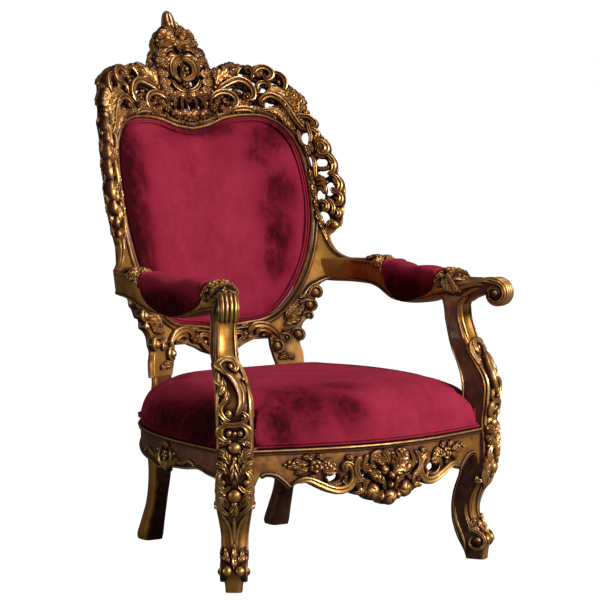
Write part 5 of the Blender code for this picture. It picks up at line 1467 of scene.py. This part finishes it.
def stuffed(piece, values, tacked):  # blown out by its stuffing, and held where it is tacked down
    select(piece)
    piece.data.remesh_voxel_size = values["voxel"]
    bpy.ops.object.voxel_remesh()
    start = coordinatesOf(piece.data)
    held = piece.vertex_groups.new(name="tacked")
    held.add([int(i) for i in np.nonzero(tacked(start))[0]], 1.0, "REPLACE")
    cloth = piece.modifiers.new("stuffing", "CLOTH")
    cloth.settings.use_pressure = True
    cloth.settings.uniform_pressure_force = values["pressure"]
    cloth.settings.vertex_group_mass = held.name
    cloth.settings.effector_weights.gravity = 0
    cloth.settings.quality = 4
    cloth.collision_settings.use_collision = False
    cloth.point_cache.frame_start, cloth.point_cache.frame_end = 1, values["frames"]
    for step in range(1, values["frames"] + 1):
        bpy.context.scene.frame_set(step)
    shaped = piece.evaluated_get(bpy.context.evaluated_depsgraph_get()).to_mesh()
    moved = coordinatesOf(shaped) - start
    piece.evaluated_get(bpy.context.evaluated_depsgraph_get()).to_mesh_clear()
    far = np.linalg.norm(moved, axis=1, keepdims=True)
    moved *= values["cap"] * np.tanh(far / values["cap"]) / np.maximum(far, 1e-9)
    piece.modifiers.remove(cloth)
    piece.vertex_groups.clear()
    moveTo(piece.data, start + moved)
    bpy.context.scene.frame_set(1)
    eased = piece.modifiers.new("eased", "SMOOTH")
    eased.factor, eased.iterations = 0.5, values["smoothing"]
    bpy.ops.object.modifier_apply(modifier=eased.name)
    bpy.ops.object.shade_smooth()
    return piece


def cordRings(path, radius, closed=True, normal=(0, 0, 1)):  # a welt along a path in space
    path = np.asarray(path, float)
    heading = np.roll(path, -1, 0) - np.roll(path, 1, 0) if closed else np.gradient(path, axis=0)
    heading = unit(heading)
    first = unit(np.cross(heading, normal))
    second = np.cross(heading, first)
    a = 2 * math.pi * np.arange(8)[:, None] / 8
    rings = path[:, None] + radius * (first[:, None] * np.cos(a) + second[:, None] * np.sin(a))
    n, m = rings.shape[:2]
    return rings.reshape(-1, 3), np.full(n * m, 0.5), tubeFaces(n, m, closed)


def withWelts(piece, welts):  # sews the welts to a stuffed piece, as one mesh
    made = pieceFrom("welts", welts, 0)
    bpy.ops.object.shade_smooth()
    select(made, piece)
    bpy.ops.object.join()
    return piece


seat = {
    "centre": (0.0, -0.132), "foot": 0.3653, "inset": 0.003,
    "voxel": 0.0085, "pressure": 3.0, "cap": 0.010, "frames": 20, "smoothing": 6,
    "profile": [  # (share of the way out from the centre, height)
        (0.980, 0.000), (0.994, 0.012), (0.997, 0.030), (0.985, 0.054), (0.958, 0.075), (0.916, 0.092),
        (0.850, 0.107), (0.750, 0.118), (0.600, 0.126), (0.420, 0.131), (0.220, 0.1335), (0.060, 0.134),
    ],
    "welts": [(0.0065, 0.0030, 0.999), (0.0135, 0.0032, 1.001)],  # (rise, radius, share)
    "notch": (0.0485, -0.041, 0.160),  # half its width, its rear and its front, from the leg's middle
}


def seatOutline():
    front = onFrontRail(np.array([0.0, 0.06, 0.12, 0.18, 0.24, 0.30, 0.35]), 0, -seat["inset"])[:, :2]
    side = onSideRail(np.arange(9) / 10, 0, -seat["inset"])[:, :2]
    right = np.vstack([front, [(0.405, -0.444)], side, [(0.300, 0.198), (0.200, 0.205), (0.080, 0.209)]])
    return np.vstack([right, right[:0:-1] * (-1, 1)])


def seatPiece():
    loop = evenly(smooth(seatOutline(), 8, True), 220, True)
    centre = np.array(seat["centre"])
    rings = []
    for share, rise in smooth(seat["profile"], 2):
        height = np.full(len(loop), seat["foot"] + rise)
        rings.append(np.column_stack([centre + (loop - centre) * share, height]))
    piece = bodyPiece("seat_cushion_made", rings)
    clear, rear, front = seat["notch"]
    for flip in (1, -1):  # it is cut round each arm support
        bpy.ops.object.select_all(action="DESELECT")
        bpy.ops.mesh.primitive_cube_add(size=1)
        cutter = bpy.context.object
        corners = coordinatesOf(cutter.data)
        out = (front + rear) / 2 + (front - rear) * corners[:, 0]
        at = onLeg(out, 2 * clear * corners[:, 1], rail["top"]) * (flip, 1, 1)
        at[:, 2] = 0.45 + 0.4 * corners[:, 2]
        moveTo(cutter.data, at)
        if flip < 0:
            cutter.data.flip_normals()
        cut = piece.modifiers.new("notch", "BOOLEAN")
        cut.operation, cut.object, cut.solver = "DIFFERENCE", cutter, "EXACT"
        select(piece)
        bpy.ops.object.modifier_apply(modifier=cut.name)
        bpy.data.objects.remove(cutter)
    stuffed(piece, seat, lambda p: p[:, 2] < seat["foot"] + 0.012)
    points = coordinatesOf(piece.data)
    points[:, 2] = np.maximum(points[:, 2], seat["foot"] - 0.0004)
    moveTo(piece.data, points)
    welts = []
    for rise, radius, share in seat["welts"]:
        path = centre + (loop - centre) * share
        for run in weltAlongNotch(path):
            height = np.full(len(run), seat["foot"] + rise)
            welts.append(cordRings(np.column_stack([run, height]), radius, False))
    for flip in (1, -1):  # and a welt climbs the cut beside each support
        for side, out in ((-1, 0.010), (1, 0.004)):
            z = np.linspace(seat["foot"] + 0.004, seat["foot"] + 0.052, 18)
            at = onLeg(out, side * (clear + 0.002), z) * (flip, 1, 1)
            welts.append(cordRings(at, 0.0028, False, (1, 0, 0)))
    return withWelts(piece, welts)


def weltAlongNotch(path):  # the runs of a loop that pass clear of both arm supports
    clear, rear, _ = seat["notch"]
    s, c = math.sin(leg["turn"]), math.cos(leg["turn"])
    dx, dy = np.abs(path[:, 0]) - leg["x"], path[:, 1] - leg["y"]
    out, side = dx * s - dy * c, dx * c + dy * s
    blocked = (np.abs(side) < clear - 0.002) & (out > rear - 0.004)
    runs, run = [], []
    for i in np.roll(np.arange(len(path)), -int(np.argmax(blocked))):
        if blocked[i]:
            if len(run) > 3:
                runs.append(path[run])
            run = []
        else:
            run.append(i)
    if len(run) > 3:
        runs.append(path[run])
    return runs


backPad = {
    "middle": (0.0, 0.900), "rear": -0.020, "edge": -0.003, "crown": 0.021, "clear": 0.0014,
    "voxel": 0.0085, "pressure": 1.2, "cap": 0.008, "frames": 16, "smoothing": 5,
    "welts": [(0.0065, 0.0010, 0.0030), (0.0130, 0.0030, 0.0030)],  # (inset, proud, radius)
}
outsideBack = {"rear": -0.0335, "front": -0.0222, "crown": 0.004}


def panelLoop(clear):
    loop = np.vstack([panelRight, panelRight[-2:0:-1] * (-1, 1)])
    loop = evenly(loop, 240, True)
    return loop + leftOf(loop, True) * -clear


def panelBody(name, shells):  # through rings at (share of the way out from the middle, proud)
    rim, middle = panelLoop(backPad["clear"]), np.array(backPad["middle"])
    rings = []
    for share, proud in shells:
        flat = middle + (rim - middle) * share
        rings.append(onBack(flat[:, 0], flat[:, 1], proud))
    return bodyPiece(name, rings)


def panelWelt(inset, proud, radius):
    rim = panelLoop(inset)
    return cordRings(onBack(rim[:, 0], rim[:, 1], proud), radius, True, (0, -1, 0))


def proudOfBack(points):
    face = onBack(points[:, 0], points[:, 2], 0)
    return (face[:, 1] - points[:, 1]) * 0.93


def backPadPiece():
    low, high, crown = backPad["rear"], backPad["edge"], backPad["crown"]
    shells = [(share, low) for share in (0.02, 0.3, 0.6, 0.85, 1)] + [(1, (low + high) / 2), (1, high)]
    outwards = (0.985, 0.96, 0.92, 0.86, 0.78, 0.66, 0.5, 0.3, 0.12, 0.02)
    shells += [(share, high + crown * (1 - share**2.4)) for share in outwards]
    piece = panelBody("back_cushion_made", shells)
    stuffed(piece, backPad, lambda p: proudOfBack(p) < backPad["edge"] - 0.004)
    return withWelts(piece, [panelWelt(*welt) for welt in backPad["welts"]])


def outsideBackPiece():
    rear, front, crown = outsideBack["rear"], outsideBack["front"], outsideBack["crown"]
    bulges = [(0.02, 1), (0.3, 0.97), (0.6, 0.86), (0.8, 0.62), (0.92, 0.36), (0.975, 0.15), (1, 0)]
    shells = [(share, rear - crown * bulge) for share, bulge in bulges]
    piece = panelBody("outside_back_made", shells + [(share, front) for share in (1, 0.8, 0.5, 0.02)])
    bpy.ops.object.shade_smooth_by_angle(angle=math.radians(50))
    return withWelts(piece, [panelWelt(0.004, rear - 0.001, 0.0032)])


armPad = {
    "crowns": [  # (y, height of the crown, half width)
        (-0.030, 0.7870, 0.0365), (-0.090, 0.7840, 0.0410), (-0.165, 0.7760, 0.0430),
        (-0.235, 0.7860, 0.0405), (-0.300, 0.7790, 0.0345),
    ],
    "drape": 0.074, "least": 0.018, "inner": 0.010, "length": 0.238,
    "welts": (0.0, 0.0065), "weltRadius": 0.0026,
    "voxel": 0.0045, "pressure": 2.0, "cap": 0.005, "frames": 14, "smoothing": 4,
}


def padSection(t, lift=0.0):  # one cover line over the arm, from its lower left edge to its lower right one
    crowns = smooth(armPad["crowns"], 8)
    y = crowns[0, 0] + (crowns[-1, 0] - crowns[0, 0]) * t
    crown, half = (float(np.interp(-y, -crowns[:, 0], crowns[:, k])) for k in (1, 2))
    drop = armPad["least"] + armPad["drape"] * max(0.0, 1 - abs(2 * t - 1) ** 2.6) ** 0.5
    low, corner = crown - drop, min(0.020, drop * 0.6)
    a = np.linspace(math.pi, 0, 17)
    across = half * np.sign(np.cos(a)) * np.abs(np.cos(a)) ** 0.62
    arc = np.stack([across, crown - corner * (1 - np.sin(a) ** 0.62)], -1)
    down = np.linspace(low, crown - corner, 8)[:-1]
    line = np.vstack([[(-half, z) for z in down], arc, [(half, z) for z in down[::-1]]])
    line[:, 0] *= 1 + lift / half
    line[:, 1] += lift * (line[:, 1] - low) / drop
    return line, y, half, low


def overArm(line, y):
    distance = alongArm(y)
    x, depth = (np.interp(distance, armSteps, armCurve[:, k]) for k in (0, 1))
    hx, hy = (np.interp(distance, armSteps, armHeading[:, k]) for k in (0, 1))
    return np.stack([x - hy * line[:, 0], depth + hx * line[:, 0], line[:, 1]], -1)


def armPadPiece(hand):
    flip = (1 if hand == "right" else -1, 1, 1)
    rings = []
    for t in np.linspace(0, 1, 40):
        line, y, half, low = padSection(t)
        inner = line[::-1] * (1 - armPad["inner"] / half, 1) - (0, armPad["inner"] * 0.9)
        inner[:, 1] = np.maximum(inner[:, 1], low)
        rings.append(overArm(np.vstack([line, inner]), y))
    piece = bodyPiece(f"arm_pad_{hand}_made", np.array(rings) * flip)
    onWood = armPad["crowns"][2][1] - 0.012

    def tacked(points):
        found = []
        for x, y, z in points:
            away = np.array([abs(x), y]) - armCurve[:, :2]
            k = int(np.argmin((away**2).sum(1)))
            across = abs(away[k, 1] * armHeading[k, 0] - away[k, 0] * armHeading[k, 1])
            found.append(across < armCurve[k, 4] - 0.003 and z < onWood or z < 0.704)
        return np.array(found)

    stuffed(piece, armPad, tacked)
    welts = []
    for inset in armPad["welts"]:
        share = inset / armPad["length"]
        sections = [padSection(t, 0.0012) for t in np.linspace(share, 1 - share, 60)]
        edge = [overArm(line[:1] + (0, inset), y)[0] for line, y, _, _ in sections]
        other = [overArm(line[-1:] + (0, inset), y)[0] for line, y, _, _ in sections[::-1]]
        near, far = (overArm(*sections[k][:2]) for k in (0, -1))
        loop = evenly(np.vstack([edge, far[1:-1], other, near[-2:0:-1]]), 200, True) * flip
        welts.append(cordRings(loop, armPad["weltRadius"], True, (0.3, 0.5, 0.8)))
    return withWelts(piece, welts)


class Finish:  # a material, with short ways to add its nodes and join them up
    def __init__(self, name):
        self.material = bpy.data.materials.new(name)
        self.material.use_nodes = True
        self.tree = self.material.node_tree
        self.shader = self.tree.nodes["Principled BSDF"]

    def join(self, source, target):
        self.tree.links.new(source, target)

    def node(self, kind, **values):
        made = self.tree.nodes.new(kind)
        for key, value in values.items():
            if key in made.inputs:
                made.inputs[key].default_value = value
            else:
                setattr(made, key, value)
        return made

    def noise(self, place, **values):
        made = self.node("ShaderNodeTexNoise", **values)
        self.join(place, made.inputs["Vector"])
        return made.outputs["Fac"]

    def math(self, operation, *terms):
        made = self.node("ShaderNodeMath", operation=operation)
        for target, term in zip(made.inputs, terms):
            if isinstance(term, float):
                target.default_value = term
            else:
                self.join(term, target)
        return made.outputs[0]

    def ranged(self, source, low, high, toLow, toHigh):  # maps low to toLow and high to toHigh
        made = self.node("ShaderNodeMapRange")
        self.join(source, made.inputs["Value"])
        for key, value in zip(("From Min", "From Max", "To Min", "To Max"), (low, high, toLow, toHigh)):
            made.inputs[key].default_value = value
        return made.outputs[0]

    def ramp(self, source, stops):
        made = self.node("ShaderNodeValToRGB")
        ends = made.color_ramp.elements
        for end, (place, colour) in ((ends[0], stops[0]), (ends[1], stops[-1])):
            end.position, end.color = place, (*colour, 1)
        for place, colour in stops[1:-1]:
            made.color_ramp.elements.new(place).color = (*colour, 1)
        self.join(source, made.inputs["Fac"])
        return made.outputs["Color"]

    def bump(self, source, strength, distance, under=None):
        made = self.node("ShaderNodeBump", Strength=strength, Distance=distance)
        self.join(source, made.inputs["Height"])
        if under:
            self.join(under, made.inputs["Normal"])
        return made.outputs["Normal"]

    def shade(self, **values):  # the shader's own settings, by their names without spaces
        for target in self.shader.inputs:
            value = values.get(target.name.replace(" ", ""))
            if value is None:
                continue
            if isinstance(value, (float, tuple)):
                target.default_value = value
            else:
                self.join(value, target)


# the gilding's colours by tone, from dark patina to gold; the two palest stops, which the highest ridges
# reach, are painted highlights
gilding = {
    "stops": [
        (0.0, (0.009, 0.0030, 0.0024)), (0.25, (0.058, 0.020, 0.015)), (0.45, (0.160, 0.058, 0.028)),
        (0.62, (0.430, 0.195, 0.028)), (0.80, (0.500, 0.275, 0.085)), (0.95, (0.800, 0.600, 0.380)),
        (1.0, (0.900, 0.740, 0.540)),
    ],
    "rubbed": (0.170, 0.050, 0.020), "coat": 0.24, "coatRoughness": 0.22,
}


def gildedWood():
    finish = Finish("antiqueGilding")
    place = finish.node("ShaderNodeTexCoord").outputs["Object"]
    # the tone marked on each piece: patina and wear of the relief, with painted shade on the sides of the
    # legs, supports and the arm's neck, and painted light on the arm near the post
    reliefAndShade = finish.node("ShaderNodeAttribute", attribute_name="reliefAndShade").outputs["Fac"]
    cloudy = finish.noise(place, Scale=38.0, Detail=4.0, Roughness=0.6)
    fine = finish.noise(place, Scale=420.0, Detail=3.0, Roughness=0.6)
    broad = finish.noise(place, Scale=9.0, Detail=3.0, Roughness=0.5)
    # ambient occlusion darkens the colour in hollows and between pieces: partly patina, partly painted shade
    hollow = finish.node("ShaderNodeAmbientOcclusion", Distance=0.016, samples=6, only_local=True)
    wearAndShade = finish.math("ADD", reliefAndShade, finish.math("MULTIPLY_ADD", cloudy, 0.55, -0.275))
    wearAndShadeInHollows = finish.math("MULTIPLY", wearAndShade, finish.ranged(hollow.outputs["AO"], 0.25, 0.95, 0.15, 1.0))
    rub = finish.node("ShaderNodeMix", data_type="RGBA")
    patch = finish.ramp(broad, [(0.52, (0, 0, 0)), (0.75, (1, 1, 1))])
    finish.join(finish.math("MULTIPLY", patch, 0.45), rub.inputs["Factor"])
    finish.join(finish.ramp(wearAndShadeInHollows, gilding["stops"]), rub.inputs["A"])
    rub.inputs["B"].default_value = (*gilding["rubbed"], 1)
    dents = finish.bump(cloudy, 0.35, 0.0012)
    finish.shade(
        BaseColor=rub.outputs["Result"],
        Roughness=finish.math("MULTIPLY_ADD", fine, 0.16, finish.ranged(wearAndShadeInHollows, 0.0, 1.0, 0.50, 0.26)),
        Metallic=finish.ranged(wearAndShadeInHollows, 0.0, 1.0, 0.35, 1.0),
        Normal=finish.bump(fine, 0.25, 0.0003, dents),
        SpecularIORLevel=0.15, CoatWeight=gilding["coat"], CoatRoughness=gilding["coatRoughness"],
    )
    return finish.material


velvetCloth = {
    "stops": [
        (0.0, (0.018, 0.0006, 0.0016)), (0.30, (0.085, 0.003, 0.009)), (0.55, (0.190, 0.011, 0.025)),
        (1.0, (0.285, 0.021, 0.044)),
    ],
    "sheen": (1.0, 0.15, 0.22),
}


# how much darker the velvet is made round each (x, y, z, across, along, up, strength): crushed pile in some
# patches, painted shade in others
def crushAndShadeAt(piece, patches):
    points = coordinatesOf(piece.data)
    amount = np.zeros(len(points))
    for x, y, z, across, along, up, strength in patches:
        away = ((points - (x, y, z)) / (across, along, up)) ** 2
        amount = np.maximum(amount, strength * np.exp(-away.sum(1)))
    mark(piece, "crushed", amount)
    return piece


def crushedVelvet():
    finish = Finish("crushedVelvet")
    place = finish.node("ShaderNodeTexCoord").outputs["Object"]
    stretch = finish.node("ShaderNodeMapping", Scale=(1.0, 1.0, 0.62))
    finish.join(place, stretch.inputs["Vector"])
    brushed = finish.noise(stretch.outputs[0], Scale=7.0, Detail=6.0, Roughness=0.62, Distortion=0.6)
    mottled = finish.noise(stretch.outputs[0], Scale=34.0, Detail=5.0, Roughness=0.70, Distortion=0.3)
    pile = finish.noise(place, Scale=900.0, Detail=2.0)
    blend = finish.node("ShaderNodeMix", data_type="FLOAT", Factor=0.38)
    finish.join(brushed, blend.inputs["A"])
    finish.join(mottled, blend.inputs["B"])
    spread = finish.ranged(blend.outputs["Result"], 0.14, 0.66, 0.22, 1.0)
    # the base colour is darkened by the amount marked on the mesh: crushed pile, and painted shade
    crushed = finish.node("ShaderNodeAttribute", attribute_name="crushed").outputs["Fac"]
    mottledCrushAndShade = finish.math("MULTIPLY", finish.ranged(mottled, 0.30, 0.68, 0.50, 1.25), crushed)
    shade = finish.math("MULTIPLY", spread, finish.ranged(mottledCrushAndShade, 0.08, 1.0, 1.0, 0.06))
    crush = finish.bump(mottled, 0.30, 0.002)
    finish.shade(
        BaseColor=finish.ramp(shade, velvetCloth["stops"]), Normal=finish.bump(pile, 0.30, 0.0004, crush),
        Roughness=0.85, SpecularIORLevel=0.04,
        SheenWeight=0.05, SheenRoughness=0.42, SheenTint=(*velvetCloth["sheen"], 1),
    )
    return finish.material


gilt, velvet = gildedWood(), crushedVelvet()
print("finishes ready")

finished(pieceFrom("crest_rail_carved", crestParts()), "crest_rail", gilt)
print("crest carved")
both("back_post", postParts(), gilt)
finished(pieceFrom("low_back_rail_carved", lowRailParts()), "low_back_rail", gilt)
print("posts and low rail carved")
both("front_leg", frontLegParts(), gilt)
both("arm", armParts(), gilt)
print("legs and arms carved")
finished(pieceFrom("front_rail_carved", apronParts()), "front_rail", gilt)
both("side_rail", sideRailParts(), gilt)
finished(rearRailPiece(), "rear_rail", gilt)
print("rails carved")

velvetCrushAndShade = {
    # on the seat, the patches down its left and right sides and at its left front corner are painted shade
    "seat": [
        (-0.19, -0.43, 0.45, 0.100, 0.12, 0.10, 0.95), (-0.09, -0.50, 0.46, 0.07, 0.09, 0.08, 0.85),
        (-0.05, -0.40, 0.49, 0.09, 0.07, 0.05, 0.6), (0.23, -0.54, 0.42, 0.08, 0.05, 0.035, 0.5),
        (-0.45, -0.10, 0.42, 0.10, 0.36, 0.075, 1.25), (-0.38, -0.32, 0.41, 0.09, 0.13, 0.085, 1.5),
        (-0.28, -0.47, 0.42, 0.06, 0.07, 0.12, 1.0), (0.45, -0.10, 0.42, 0.10, 0.36, 0.075, 0.9),
        (0.05, -0.30, 0.505, 0.09, 0.07, 0.03, 0.35), (-0.20, 0.10, 0.50, 0.20, 0.05, 0.03, 0.3),
    ],
    # on the back, the band down its left edge, the top middle and the foot are painted shade; those on the
    # right are crushed pile
    "back": [
        (0.235, 0.26, 1.130, 0.110, 0.3, 0.060, 0.95), (0.185, 0.26, 1.080, 0.075, 0.3, 0.060, 0.8),
        (0.230, 0.24, 0.985, 0.070, 0.3, 0.090, 0.9), (0.205, 0.24, 0.860, 0.055, 0.3, 0.090, 0.95),
        (0.190, 0.23, 0.770, 0.050, 0.3, 0.070, 0.9), (0.190, 0.24, 0.920, 0.050, 0.3, 0.080, 0.8),
        (-0.315, 0.22, 1.060, 0.105, 0.5, 0.170, 1.7), (-0.310, 0.22, 0.880, 0.090, 0.5, 0.190, 1.7),
        (-0.265, 0.22, 0.720, 0.065, 0.5, 0.100, 1.5), (0.030, 0.29, 1.150, 0.150, 0.3, 0.035, 0.9),
        (0.090, 0.28, 1.080, 0.060, 0.3, 0.050, 0.45), (0.0, 0.25, 0.595, 0.24, 0.3, 0.026, 0.8),
    ],
    # on the arm pads, the patches along the lower edges of the covers are painted shade
    "pad": [
        (0.338, -0.16, 0.705, 0.036, 0.20, 0.055, 1.5), (-0.43, -0.16, 0.71, 0.034, 0.20, 0.050, 1.3),
        (0.43, -0.16, 0.71, 0.030, 0.20, 0.040, 0.8), (-0.345, -0.16, 0.72, 0.030, 0.20, 0.040, 0.8),
    ],
}
seatMade = finished(crushAndShadeAt(seatPiece(), velvetCrushAndShade["seat"]), "seat_cushion", velvet)
print("seat stuffed")
backMade = finished(crushAndShadeAt(backPadPiece(), velvetCrushAndShade["back"]), "back_cushion", velvet)
outsideMade = finished(crushAndShadeAt(outsideBackPiece(), []), "outside_back", velvet)
print("back stuffed")
for hand in ("right", "left"):
    padMade = crushAndShadeAt(armPadPiece(hand), velvetCrushAndShade["pad"])
    finished(padMade, f"arm_pad_{hand}", velvet)
print("arm pads stuffed")

studio = {
    "target": (0.0503, -0.072, 0.6939), "azimuth": -33.40, "elevation": 5.43, "distance": 6.856,
    "lens": 150.03, "floor": 60.0, "sky": 0.045,
    "lamps": [  # (place, size, power)
        ((2.1, -4.0, 2.4), 1.4, 290.0), ((0.6, -0.9, 4.2), 1.6, 55.0), ((-3.0, 0.9, 0.9), 1.0, 22.0),
        ((-1.3, -4.8, 1.4), 1.6, 40.0),
    ],
}


def flooring():
    finish = Finish("paleFloor")
    finish.shade(BaseColor=(0.14, 0.14, 0.14, 1.0), Roughness=0.9, SpecularIORLevel=0.1)
    glow = finish.node("ShaderNodeEmission", Strength=1.06)
    mixed = finish.node("ShaderNodeMixShader")
    finish.join(finish.node("ShaderNodeLightPath").outputs["Is Camera Ray"], mixed.inputs["Fac"])
    finish.join(finish.shader.outputs[0], mixed.inputs[1])
    finish.join(glow.outputs[0], mixed.inputs[2])
    finish.join(mixed.outputs[0], finish.tree.nodes["Material Output"].inputs["Surface"])
    bpy.ops.object.select_all(action="DESELECT")
    bpy.ops.mesh.primitive_plane_add(size=studio["floor"], location=(0, 0, -0.0005))
    floor = bpy.context.object
    floor.name = "floor"
    floor.data.materials.append(finish.material)


def lighting():
    world = bpy.data.worlds.new("studio")
    bpy.context.scene.world = world
    world.use_nodes = True
    nodes, links = world.node_tree.nodes, world.node_tree.links
    around, seen = nodes["Background"], nodes.new("ShaderNodeBackground")
    for background, strength in ((around, studio["sky"]), (seen, 1.0)):
        background.inputs["Color"].default_value = (1, 1, 1, 1)
        background.inputs["Strength"].default_value = strength
    mix = nodes.new("ShaderNodeMixShader")
    links.new(nodes.new("ShaderNodeLightPath").outputs["Is Camera Ray"], mix.inputs["Fac"])
    links.new(around.outputs[0], mix.inputs[1])
    links.new(seen.outputs[0], mix.inputs[2])
    links.new(mix.outputs[0], nodes["World Output"].inputs["Surface"])
    for k, (place, size, power) in enumerate(studio["lamps"]):
        lamp = bpy.data.lights.new(f"lamp{k}", "AREA")
        lamp.shape, lamp.size, lamp.energy = "DISK", size, power
        holder = bpy.data.objects.new(f"lamp{k}", lamp)
        bpy.context.scene.collection.objects.link(holder)
        holder.location = place
        holder.rotation_euler = (Vector((0, 0, 0.7)) - Vector(place)).to_track_quat("-Z", "Y").to_euler()


def aimCamera():
    azimuth, elevation = math.radians(studio["azimuth"]), math.radians(studio["elevation"])
    level = math.cos(elevation)
    away = Vector((math.sin(azimuth) * level, -math.cos(azimuth) * level, math.sin(elevation)))
    camera = bpy.data.objects.new("camera", bpy.data.cameras.new("camera"))
    bpy.context.scene.collection.objects.link(camera)
    camera.location = Vector(studio["target"]) + away * studio["distance"]
    camera.rotation_euler = (-away).to_track_quat("-Z", "Y").to_euler()
    camera.data.sensor_width, camera.data.lens = 36, studio["lens"]
    bpy.context.scene.camera = camera


flooring()
lighting()
aimCamera()
bpy.context.scene.view_settings.view_transform = "Standard"
print("studio ready")
